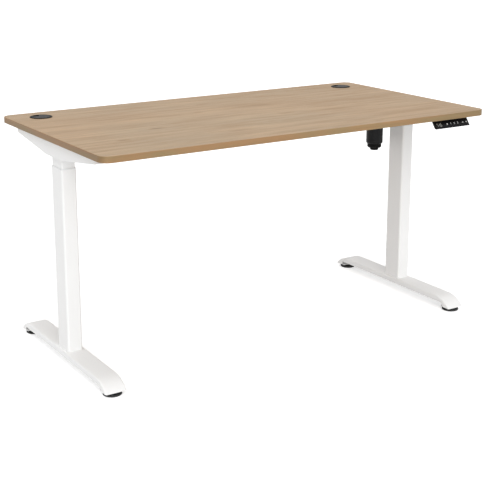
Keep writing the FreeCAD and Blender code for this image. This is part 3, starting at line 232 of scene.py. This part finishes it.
def edge_band():
    """Plastic edge with the same print, its streaks running round it; with painted shade on the short sides and
    towards +X.
    """
    band = Surface("edge_band", srgb(150, 117, 86), 0.50, specular_ior_level=0.3)
    streaks = band.noise((2.4, 2.4, 210), 4, distortion=0.3, seed=5)
    patches = band.noise((4.5, 4.5, 30), 2, seed=17)
    grain = band.noise((40, 40, 1500), 2, seed=9)
    tone = band.math("MULTIPLY_ADD", streaks, 0.34, 0.83)
    tone = band.math("MULTIPLY", tone, band.math("MULTIPLY_ADD", grain, 0.12, 0.94))
    hue = band.mix(band.rise(patches, 0.35, 0.65), srgb(159, 124, 87), srgb(147, 124, 88))
    side = band.add("ShaderNodeSeparateXYZ", {0: band.add("ShaderNodeTexCoord").outputs["Normal"]})
    # Painted shade: faces that look along X, the short ends, are darkened.
    painted_end_shade = band.rise(band.math("ABSOLUTE", side.outputs["X"]), 0.5, 1.0, 1.0, 0.76)
    along = band.add("ShaderNodeSeparateXYZ", {0: band.place}).outputs["X"]
    tone = band.math("MULTIPLY", tone, painted_end_shade)
    # Painted shade: the band darker towards +X.
    tone = band.math("MULTIPLY", tone, band.rise(along, 0.2, 0.7, 1.03, 0.90))
    band.use(base_color=band.shade(hue, tone))
    band.relief(grain, 0.00003, 0.4)
    return band.material


def coated(name, colour, roughness, grain, depth, spread, specular):
    """Powder coat or moulded skin: an even colour over a fine pebbled relief."""
    coat = Surface(name, colour, roughness, specular_ior_level=specular)
    pebbles = coat.noise((grain, grain, grain), 2, seed=2)
    drift = coat.noise((6, 6, 6), 2, seed=7)
    coat.use(base_color=coat.shade(colour, coat.math("MULTIPLY_ADD", drift, spread, 1 - spread / 2)),
             roughness=coat.rise(pebbles, 0.3, 0.7, roughness - 0.05, roughness + 0.06))
    coat.relief(pebbles, depth * MM, 0.6)
    return coat.material


def machined(name, colour, roughness, lay):
    """Bare metal with fine tool marks and slight stains."""
    metal = Surface(name, colour, roughness, metallic=1.0)
    marks = metal.noise(lay, 2, seed=4)
    stains = metal.noise((30, 30, 30), 3, seed=6)
    metal.use(base_color=metal.shade(colour, metal.math("MULTIPLY_ADD", stains, 0.24, 0.86)),
              roughness=metal.rise(marks, 0.25, 0.75, roughness - 0.08, roughness + 0.12))
    metal.relief(marks, 0.00001, 0.5)
    return metal.material


def cast():
    """Die-cast alloy, grainy from the mould."""
    colour = (0.50, 0.51, 0.52)
    alloy = Surface("cast_case", colour, 0.5, metallic=1.0)
    grain = alloy.noise((700, 700, 700), 3, seed=8)
    flow = alloy.noise((25, 25, 60), 3, distortion=1.0, seed=12)
    alloy.use(base_color=alloy.shade(colour, alloy.math("MULTIPLY_ADD", flow, 0.3, 0.85)),
              roughness=alloy.rise(grain, 0.3, 0.7, 0.42, 0.6))
    alloy.relief(grain, 0.00008, 0.6)
    return alloy.material


def lit_marks():
    """Digits lit from behind a dark window, slightly uneven."""
    glow = Surface("lit_marks", (0.30, 0.30, 0.28), 0.5, emission_strength=0.16)
    spread = glow.noise((500, 500, 500), 1, seed=1)
    glow.use(emission_color=glow.mix(spread, (0.75, 0.74, 0.70), (1.0, 0.99, 0.95)))
    return glow.material


def printed():
    """White ink, thinner in places."""
    ink = Surface("white_print", (0.72, 0.72, 0.71), 0.5)
    cover = ink.noise((1500, 1500, 1500), 2, seed=3)
    ink.use(base_color=ink.mix(ink.rise(cover, 0.3, 0.5), (0.55, 0.55, 0.54), (0.76, 0.76, 0.75)))
    return ink.material


# Coat: colour, roughness, pebbles to the metre and their depth in mm, drift of the colour, specular level.
COATS = {
    "white_paint": ((0.88, 0.88, 0.875), 0.42, 1100, 0.01, 0.03, 0.5),
    "white_plastic": ((0.80, 0.81, 0.81), 0.48, 1800, 0.01, 0.03, 0.5),
    "black_paint": ((0.006, 0.006, 0.007), 0.34, 900, 0.01, 0.3, 0.15),
    "black_plastic": ((0.006, 0.006, 0.006), 0.50, 2200, 0.01, 0.3, 0.06),
    "grommet_cap": ((0.008, 0.0075, 0.0075), 0.40, 2200, 0.006, 0.3, 0.06),
    "black_gloss": ((0.004, 0.004, 0.005), 0.24, 500, 0.004, 0.2, 0.12),
    "display_gloss": ((0.005, 0.0045, 0.004), 0.12, 400, 0.002, 0.2, 0.15),
    "button_plastic": ((0.008, 0.008, 0.009), 0.45, 2600, 0.03, 0.3, 0.2),
    "black_rubber": ((0.014, 0.014, 0.014), 0.75, 1500, 0.06, 0.4, 0.5),
    "black_foot": ((0.012, 0.012, 0.012), 0.55, 1600, 0.04, 0.3, 0.5),
    "nylon": ((0.74, 0.73, 0.68), 0.42, 1500, 0.03, 0.06, 0.5),
}
# Metal: colour, roughness, tool marks to the metre along X, Y and Z.
METALS = {
    "zinc_steel": ((0.66, 0.67, 0.69), 0.34, (40, 40, 2200)),
    "bearing_steel": ((0.60, 0.60, 0.61), 0.24, (40, 40, 2200)),
    "gear_steel": ((0.42, 0.42, 0.43), 0.36, (900, 900, 900)),
    "drive_nut": ((0.72, 0.54, 0.26), 0.34, (40, 40, 2200)),
}
FINISHES = {name: coated(name, *row) for name, row in COATS.items()}
FINISHES |= {name: machined(name, *row) for name, row in METALS.items()}
FINISHES |= {"wood_laminate": wood_laminate(), "edge_band": edge_band(), "cast_case": cast(),
             "lit_marks": lit_marks(), "white_print": printed()}


def finish_nodes():
    """Every node gets the finish of the slot that it was packed with."""
    for node in NODES.values():
        for holder in node.material_slots:
            holder.material = FINISHES[holder.material.name.split(".")[0]]


# ---------------------------------------------------------------------------------------------
# Mesh code shared by the pieces made here
# ---------------------------------------------------------------------------------------------
FULL_TURN = 2 * math.pi


def ring(place, height, radius, count=24, turn=0.0):
    """Points round the place's Z axis. The radius is a number, or a function of the angle."""
    points = []
    for step in range(count):
        angle = FULL_TURN * step / count
        reach = radius(angle) if callable(radius) else radius
        x, y = reach * math.cos(angle + turn), reach * math.sin(angle + turn)
        points.append(place @ Vector((x, y, height)))
    return points


class Shell:
    """Points and faces of one piece, skinned ring by ring."""

    def __init__(self):
        self.points, self.faces = [], []

    def loft(self, rings, loop=False):
        """Skin through rings of equally many points: with flat ends, or as a loop back to the first."""
        first, count = len(self.points), len(rings[0])
        for points in rings:
            self.points.extend(points)
        last = first + count * (len(rings) - 1)
        for low in range(first, last + count if loop else last, count):
            high = first if low == last else low + count
            for side in range(count):
                after = (side + 1) % count
                self.faces.append((low + side, low + after, high + after, high + side))
        if not loop:
            self.faces.append(tuple(range(first + count - 1, first - 1, -1)))
            self.faces.append(tuple(range(last, last + count)))

    def lathe(self, place, profile, count=24):
        """Turned shape through (height, radius) pairs; a radius may be a function of the angle."""
        self.loft([ring(place, height, radius, count) for height, radius in profile])

    def thread(self, place, start, end, core, crest, lead, starts=1, hand=1, sides=12):
        """A bar of constant section, twisted as it rises, run out to its core at both ends."""
        rings, rings_per_lead = [], 8
        for step in range(int((end - start) / lead * rings_per_lead) + 1):
            height = min(start + step * lead / rings_per_lead, end)
            grown = min(1.0, (height - start) / lead * 2, (end - height) / lead * 2)

            def section(angle):
                """Flat at the root and at the crest, with sloping flanks between them."""
                wave = abs((angle * starts / FULL_TURN) % 1.0 - 0.5) * 2
                return core + (crest - core) * grown * min(1.0, max(0.0, wave * 1.6 - 0.3))

            rings.append(ring(place, height, section, sides, hand * FULL_TURN * height / lead))
        self.loft(rings)

    def prism(self, place, outline, bottom, top):
        """A flat outline of (x, y) pairs, drawn from bottom to top."""
        self.loft([[place @ Vector((x, y, height)) for x, y in outline] for height in (bottom, top)])

    def stroke(self, place, path, width, bottom, top):
        """A line of even width through (x, y) pairs, with mitred corners."""
        path = [Vector(point) for point in path]
        rings = []
        for index, point in enumerate(path):
            before = (point - path[index - 1]).normalized() if index else None
            after = (path[index + 1] - point).normalized() if index + 1 < len(path) else before
            before = before or after
            along = (before + after).normalized()
            across = Vector((-along.y, along.x))
            reach = width / 2 / max(0.5, across.dot(Vector((-before.y, before.x))))
            left, right = point + across * reach, point - across * reach
            rings.append([place @ Vector((*corner, height)) for corner, height in
                          ((left, bottom), (right, bottom), (right, top), (left, top))])
        self.loft(rings)

    def build(self, name, slot, body, stands_for=(), crease=35):
        """The finished piece, in its finish, riding a CAD body."""
        mesh = bpy.data.meshes.new(name)
        mesh.from_pydata([tuple(point) for point in self.points], [], self.faces)
        shape = bmesh.new()
        shape.from_mesh(mesh)
        bmesh.ops.recalc_face_normals(shape, faces=shape.faces)
        shape.to_mesh(mesh)
        shape.free()
        mesh.shade_smooth()
        mesh.set_sharp_from_angle(angle=math.radians(crease))
        mesh.materials.append(FINISHES[slot])
        piece = bpy.data.objects.new(name, mesh)
        bpy.context.scene.collection.objects.link(piece)
        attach(piece, body)
        if stands_for:
            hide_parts(*stands_for)
        return piece


def solids_of(name):
    """The separate solids of a CAD node, each as its list of points."""
    shape = bmesh.new()
    shape.from_mesh(NODES[name].data)
    bmesh.ops.remove_doubles(shape, verts=shape.verts, dist=1e-6)
    seen, solids = set(), []
    for first in shape.verts:
        if first in seen:
            continue
        seen.add(first)
        front, points = [first], []
        while front:
            vertex = front.pop()
            points.append(vertex.co.copy())
            neighbours = {edge.other_vert(vertex) for edge in vertex.link_edges} - seen
            seen |= neighbours
            front.extend(neighbours)
        solids.append(points)
    shape.free()
    return solids


def extent(points, direction):
    """Lowest and highest reach of the points along a direction."""
    reaches = [point.dot(direction) for point in points]
    return min(reaches), max(reaches)


def upright(points):
    """Place on the axis of an upright round solid, at its foot."""
    middle = [sum(extent(points, axis)) / 2 for axis in (X, Y)]
    return Matrix.Translation((*middle, extent(points, Z)[0]))


def steps(points):
    """Where an upright round solid changes: rising (height over its foot, largest radius) pairs in mm."""
    place, reach = upright(points).inverted(), {}
    for point in points:
        local = place @ point
        height = round(local.z, 5)
        reach[height] = max(math.hypot(local.x, local.y), reach.get(height, 0))
    return [(height / MM, radius / MM) for height, radius in sorted(reach.items())]


# ---------------------------------------------------------------------------------------------
# Fasteners, lead screws and levelling feet
# ---------------------------------------------------------------------------------------------
def cross_recess(arm, width):
    """Outline of a cross-shaped recess, from its half length and the half width of its arms."""
    def radius(angle):
        along, up = max(abs(math.cos(angle)), 1e-6), max(abs(math.sin(angle)), 1e-6)
        return max(min(arm / along, width / up), min(width / along, arm / up))
    return radius


def hexagon(across):
    """Outline of a hexagon, from the distance across its flats."""
    def radius(angle):
        return across / 2 / math.cos((angle + math.pi / 6) % (math.pi / 3) - math.pi / 6)
    return radius


# CAD node: the body it rides and, in mm, its head's radius and height, the recess in it and its depth, the
# thread's core radius and its lead, and the length of its point.
FASTENERS = {
    "desk_screws": ("top", 4.25, 2.4, cross_recess(2.2, 0.5), 1.4, 1.35, 1.8, 4.0),
    "frame_bolts": ("top", 5.0, 3.3, hexagon(4), 2.0, 2.45, 1.0, 0.4),
    "foot_bolts": ("base", 5.0, 3.3, hexagon(4), 2.0, 2.45, 1.0, 0.4),
}
DOME = ((0, 0.72), (0.2, 0.92), (0.45, 1), (1, 1))   # a head from its top: height and radius, as shares
THREADED = 24   # longest thread of a bolt
LAP = 0.2       # how far the lengths of one bolt run into each other


def fasteners():
    """Screws and bolts with driven heads and real threads, where the CAD nodes have plain ones."""
    for name, (body, head, height, recess, sink, core, lead, point) in FASTENERS.items():
        shell = Shell()
        for points in solids_of(name):
            place, levels = upright(points) @ IN_MM, steps(points)
            length = levels[-1][0]
            shank = next(reach for _, reach in reversed(levels) if reach > 1)
            outside = [(height * down, head * out) for down, out in DOME]
            shell.lathe(place, [(sink, lambda angle: 0.8 * recess(angle)), (0.15, recess), *outside,
                                (height, core)])
            start = max(height, length - THREADED)
            if start > height:
                shell.lathe(place, [(height - LAP, shank), (start, shank)])
            shell.thread(place, start - LAP, length - point, core, shank, lead)
            shell.lathe(place, [(length - point - LAP, core), (length, core * 0.3)])
        shell.build(f"driven_{name}", "zinc_steel", body, [name])


SCREW_DEPTH = 1.6                 # of a lead screw's thread
SCREW_LEAD, SCREW_STARTS = 6, 2   # mm to a turn, and how many threads share them


def lead_screws():
    """Two-start screws, 3 mm pitch: right-hand at the left column and left-hand at the right one."""
    for side, hand in zip(SIDES, (1, -1)):
        name = f"lead_screw_{side}"
        points = solids_of(name)[0]
        place, levels = upright(points) @ IN_MM, steps(points)
        crest, journal, length = levels[1][1], levels[-2][1], levels[-1][0]
        shoulder = max(height for height, reach in levels if reach > crest - 0.1)
        shell = Shell()
        shell.thread(place, 0, shoulder, crest - SCREW_DEPTH, crest, SCREW_LEAD, SCREW_STARTS, hand, sides=16)
        shell.lathe(place, [(shoulder - 4, journal), (length - 0.8, journal), (length, journal - 0.8)])
        shell.build(f"threaded_{name}", "bearing_steel", name, [name])


GRIPS, GRIP_DEPTH = 36, 0.5                  # round a pad's rim
STUD, STUD_CORE, STUD_LEAD = 4, 3.35, 1.25   # M8: outer and core radius, mm to a turn


def levelling_feet():
    """A moulded pad with grips round its rim, on a zinc-plated M8 stud with a hexagon."""
    for name in [name for name in NODES if name.startswith("levelling_foot")]:
        points = solids_of(name)[0]
        place, levels = upright(points) @ IN_MM, steps(points)
        rim, length = max(reach for _, reach in levels), levels[-1][0]

        def grips(angle):
            return rim + GRIP_DEPTH / 2 * (math.cos(GRIPS * angle) - 1)

        pad = Shell()
        pad.lathe(place, [(0.5, 9), (0.5, rim - 6), (0, rim - 4.5), (0, rim - 1.6), (1.2, grips),
                          (4.6, grips), (5.6, rim - 1.2), (7.9, 12), (8.0, 9), (8.0, 6)], 4 * GRIPS)
        pad.build(name.replace("foot", "pad"), "black_foot", name, [name])
        bolt = Shell()
        bolt.lathe(place, [(7.8, hexagon(12.6)), (8, hexagon(13)), (11.6, hexagon(13)), (12, hexagon(11.8))])
        bolt.thread(place, 11.8, length - 0.6, STUD_CORE, STUD, STUD_LEAD)
        bolt.lathe(place, [(length - 0.8, STUD_CORE), (length, 2.6)])
        bolt.build(name.replace("foot", "stud"), "zinc_steel", name)


# ---------------------------------------------------------------------------------------------
# Handset: height display and button marks
# ---------------------------------------------------------------------------------------------
SEGMENTS = {   # seven-segment strokes, as ends on a digit one wide and two high
    "a": ((0, 2), (1, 2)), "b": ((1, 2), (1, 1)), "c": ((1, 1), (1, 0)), "d": ((0, 0), (1, 0)),
    "e": ((0, 1), (0, 0)), "f": ((0, 2), (0, 1)), "g": ((0, 1), (1, 1)),
}
DIGITS = {"7": "abc", "1": "bc", "5": "afgcd"}
READING = (("7", -7.7), ("1", -0.4), ("5", 7.5))   # 71.5 cm, the desk's own height: digits and their places
DIGIT_SIZE = (5.0, 4.9)          # width and half height, in mm
STROKE, STROKE_GAP = 1.2, 0.15   # width of a segment, and how much shorter it is at each end
DECIMAL_POINT = (3.9, 0.7)       # place and radius
MEMORY_DOT = 2.4                 # radius of the mark on the memory button
MARKS = {   # button: strokes in mm and their width
    "button_1": ([[(-1.1, 1.8), (0.3, 2.8), (0.3, -2.8)]], 0.9),
    "button_2": ([[(-1.7, 1.5), (-1.5, 2.3), (-0.8, 2.8), (0.1, 2.9), (1.0, 2.6), (1.6, 1.9), (1.5, 1.0),
                   (0.9, 0.1), (-1.6, -2.6), (1.8, -2.6)]], 0.9),
    "button_3": ([[(-1.6, 2.1), (-0.9, 2.7), (0.1, 2.9), (1.0, 2.6), (1.5, 1.9), (1.3, 1.0), (0.6, 0.4),
                   (-0.4, 0.2)],
                  [(-0.4, 0.2), (0.8, 0.1), (1.5, -0.6), (1.6, -1.5), (1.1, -2.4), (0.1, -2.8),
                   (-0.9, -2.7), (-1.7, -2.1)]], 0.9),
    "button_up": ([[(-3.4, -1.6), (0, 1.8), (3.4, -1.6)]], 1.2),
    "button_down": ([[(-3.4, 1.6), (0, -1.8), (3.4, 1.6)]], 1.2),
}
PRINT = (-0.02, 0.05)   # how far printed marks reach into and out of their surface


def face_place(name):
    """Middle of a handset piece's outer face, in mm: X along the desk, Y up the face, Z out of it."""
    along, out = X, -Vector(JOINTS["press_up"]["axis"])
    up = out.cross(along)
    points = [vertex.co for vertex in NODES[name].data.vertices]
    middle = along * (sum(extent(points, along)) / 2) + up * (sum(extent(points, up)) / 2)
    place = Matrix.Translation(middle + out * extent(points, out)[1])
    return place @ Matrix((along, up, out)).transposed().to_4x4() @ IN_MM


def dot(shell, place, radius, count):
    """A round printed mark."""
    shell.lathe(place, [(height, radius) for height in PRINT], count)


def height_reading():
    """Seven-segment digits and a decimal point on the display window."""
    place, shell = face_place("display_window"), Shell()
    width, half_height = DIGIT_SIZE
    for digit, middle in READING:
        for segment in DIGITS[digit]:
            start, end = [Vector((middle + (x - 0.5) * width, (y - 1) * half_height))
                          for x, y in SEGMENTS[segment]]
            along = (end - start).normalized()
            across = Vector((-along.y, along.x)) * STROKE / 2
            start, end = start + along * STROKE_GAP, end - along * STROKE_GAP
            nose = along * STROKE / 2
            outline = [start, start + nose - across, end - nose - across, end, end - nose + across,
                       start + nose + across]
            shell.prism(place, outline, *PRINT)
    spot, radius = DECIMAL_POINT
    dot(shell, place @ Matrix.Translation((spot, -half_height, 0)), radius, 16)
    shell.build("height_reading", "lit_marks", "top", crease=20)


def button_marks():
    """Numbers and arrows, and a dot on the memory button."""
    for name, (strokes, width) in MARKS.items():
        shell = Shell()
        for path in strokes:
            shell.stroke(face_place(name), path, width, *PRINT)
        shell.build(f"mark_on_{name}", "white_print", name, crease=20)
    shell = Shell()
    dot(shell, face_place("button_memory"), MEMORY_DOT, 32)
    shell.build("mark_on_button_memory", "white_print", "button_memory", crease=20)


# ---------------------------------------------------------------------------------------------
# Weld beads, motor seams and the control box's contacts
# ---------------------------------------------------------------------------------------------
CORNERS = ((1, 1), (-1, 1), (-1, -1), (1, -1))   # of a rectangle, anticlockwise
ARC_STEPS = 6                # straight lengths to a quarter turn
BEAD, BEAD_CORNER = 2.3, 5   # mm: mean width of a weld bead, and the radius of its path at a corner
BEAD_STEP = 0.9              # mm from one section of the bead to the next


def rounded_path(half_x, half_y, corner, spacing):
    """Points and outward directions round a rounded rectangle, evenly spread."""
    path = []
    for turn, (x, y) in enumerate(CORNERS):
        centre = Vector((x * (half_x - corner), y * (half_y - corner)))
        for step in range(ARC_STEPS + 1):
            angle = (turn + step / ARC_STEPS) * math.pi / 2
            outward = Vector((math.cos(angle), math.sin(angle)))
            path.append((centre + outward * corner, outward))
    dense = []
    for (start, out_start), (end, out_end) in zip(path, path[1:] + path[:1]):
        count = max(1, round((end - start).length / spacing))
        for step in range(count):
            share = step / count
            dense.append((start.lerp(end, share), out_start.lerp(out_end, share).normalized()))
    return dense


def weld_beads():
    """A rippled bead where each inner tube is welded to the underside of its head plate."""
    for side in SIDES:
        points = solids_of(f"inner_tube_{side}")[0]
        foot = min(point.z for point in points)
        tube_end = [point for point in points if point.z < foot + MM]
        spans = [extent(tube_end, axis) for axis in (X, Y)]
        middle = [sum(span) / 2 for span in spans]
        half_x, half_y = [(high - low) / 2 / MM for low, high in spans]
        past_tube = (half_y + 5) * MM
        under = min(point.z for point in points if abs(point.y - middle[1]) > past_tube)
        place = Matrix.Translation((*middle, under)) @ IN_MM
        rings = []
        for index, (point, outward) in enumerate(rounded_path(half_x, half_y, BEAD_CORNER, BEAD_STEP)):
            size = BEAD + 0.25 * math.sin(index * 1.6) + 0.15 * math.sin(index * 0.37)
            section = [(-0.6, 0.4), (size, 0.4), (size * 0.95, -size * 0.3), (size * 0.6, -size * 0.72),
                       (size * 0.25, -size), (-0.6, -size)]
            rings.append([place @ Vector((*(point + outward * x), z)) for x, z in section])
        shell = Shell()
        shell.loft(rings, loop=True)
        shell.build(f"weld_{side}", "white_paint", "top", crease=60)


SEAM = ((-1.4, -0.5), (-1.2, 0.15), (-0.6, 0.45), (0.6, 0.45), (1.2, 0.15), (1.4, -0.5))   # height, bulge
SEAM_UNDER_TOP, SEAM_OVER_END = 7, 12   # mm from the can's upper and lower end


def motor_seams():
    """Rolled seam at the top of the can, and the ring that holds its stepped end."""
    low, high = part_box("motor_can")
    radius, top = (high.x - low.x) / 2 / MM, (high.z - low.z) / MM
    place = Matrix.Translation(((low.x + high.x) / 2, (low.y + high.y) / 2, low.z)) @ IN_MM
    shell = Shell()
    for height in (top - SEAM_UNDER_TOP, SEAM_OVER_END):
        shell.lathe(place, [(height + offset, radius + bulge) for offset, bulge in SEAM], 72)
    shell.build("motor_seams", "black_paint", "top")


CONTACTS = {   # socket: (across, up) of each contact from its middle, and its half sizes, in mm
    "mains_socket": ([(-6, -2), (0, 2.5), (6, -2)], (0.9, 1.9)),
    "motor_socket": ([(x, z) for x in (-4.5, -1.5, 1.5, 4.5) for z in (-2.2, 2.2)], (0.5, 0.5)),
    "handset_socket": ([(x, 0) for x in (-3, -1.5, 0, 1.5, 3)], (0.35, 1.2)),
}
BLADE = ((-1, 1), (7, 1), (8.5, 0.5))   # from the socket's back outwards: distance, share of the section


def contacts():
    """Blades and pins inside the control box's sockets."""
    sockets = {opening["name"]: opening["box_m"] for opening in frame["record"]["physics"]["openings"]}
    shell = Shell()
    for name, (spots, (half_y, half_z)) in CONTACTS.items():
        low, high = [Vector(corner) / MM for corner in sockets[name]]
        outward = 1 if low.x > 0 else -1
        back = low.x if outward > 0 else high.x
        for across, up in spots:
            y, z = (low.y + high.y) / 2 + across, (low.z + high.z) / 2 + up
            rings = []
            for depth, share in BLADE:
                wide, tall, x = half_y * share, half_z * share, back + outward * depth
                rings.append([Vector((x, y + dy * wide, z + dz * tall)) * MM for dy, dz in CORNERS])
            shell.loft(rings)
    shell.build("socket_contacts", "zinc_steel", "top")


# ---------------------------------------------------------------------------------------------
# Light, floor and background
# ---------------------------------------------------------------------------------------------
BACKGROUND = 1.0         # white behind the object, as the camera and reflections see it
SKY = 0.42               # light of the same sky on the object
FLOOR = 0.86             # the floor's own white, as it lights the object from below
FLOOR_GLOW = 0.52        # what it takes, where it is seen, to reach the background's white
FLOOR_SIZE = 120         # side of its square
LAMPS = {                # where each stands as seen from the desk, its share of light, its spread in degrees
    "Overhead": ((-0.1, 0.05, 1.0), 0.31, 70),
    "Front": ((-0.40, -0.86, 0.5), 0.54, 55),
}


def add_lamps():
    """Distant lamps, broad enough for soft shadows."""
    for name, (towards, share, spread) in LAMPS.items():
        data = bpy.data.lights.new(name, "SUN")
        data.angle = math.radians(spread)
        data.energy = math.pi * share
        lamp = bpy.data.objects.new(name, data)
        lamp.rotation_euler = Vector(towards).to_track_quat("Z", "Y").to_euler()
        bpy.context.scene.collection.objects.link(lamp)


def seen_directly(tree):
    """1 for rays from the camera, reflections and glass, 0 for those that light the object."""
    path = tree.nodes.new("ShaderNodeLightPath")
    share = path.outputs["Is Camera Ray"]
    for kind in ("Is Glossy Ray", "Is Transmission Ray"):
        most = tree.nodes.new("ShaderNodeMath")
        most.operation = "MAXIMUM"
        tree.links.new(share, most.inputs[0])
        tree.links.new(path.outputs[kind], most.inputs[1])
        share = most.outputs[0]
    return share


def add_background():
    """White where it is seen, softer where it lights the object."""
    world = bpy.data.worlds.new("World")
    world.use_nodes = True
    bpy.context.scene.world = world
    tree = world.node_tree
    level = tree.nodes.new("ShaderNodeMapRange")
    tree.links.new(seen_directly(tree), level.inputs["Value"])
    level.inputs["To Min"].default_value = SKY
    level.inputs["To Max"].default_value = BACKGROUND
    sky = tree.nodes["Background"]
    sky.inputs["Color"].default_value = (1, 1, 1, 1)
    tree.links.new(level.outputs[0], sky.inputs["Strength"])


def add_floor():
    """A plain matt floor that keeps the shadow and meets the background's white."""
    bpy.ops.mesh.primitive_plane_add(size=FLOOR_SIZE, location=(0, 0, 0))
    floor = bpy.context.object
    floor.name = "Floor"
    material = bpy.data.materials.new("floor")
    material.use_nodes = True
    tree = material.node_tree
    shader = tree.nodes["Principled BSDF"]
    shader.inputs["Base Color"].default_value = (FLOOR, FLOOR, FLOOR, 1)
    shader.inputs["Roughness"].default_value = 0.9
    shader.inputs["Specular IOR Level"].default_value = 0.1
    shader.inputs["Emission Color"].default_value = (1, 1, 1, 1)
    lift = tree.nodes.new("ShaderNodeMath")
    lift.operation = "MULTIPLY"
    tree.links.new(seen_directly(tree), lift.inputs[0])
    lift.inputs[1].default_value = FLOOR_GLOW
    tree.links.new(lift.outputs[0], shader.inputs["Emission Strength"])
    floor.data.materials.append(material)


# ---------------------------------------------------------------------------------------------
# Assembly
# ---------------------------------------------------------------------------------------------
bpy.context.scene.view_settings.view_transform = "Standard"
add_camera()
add_background()
add_floor()
add_lamps()
finish_nodes()
fasteners()
lead_screws()
levelling_feet()
height_reading()
button_marks()
weld_beads()
motor_seams()
contacts()
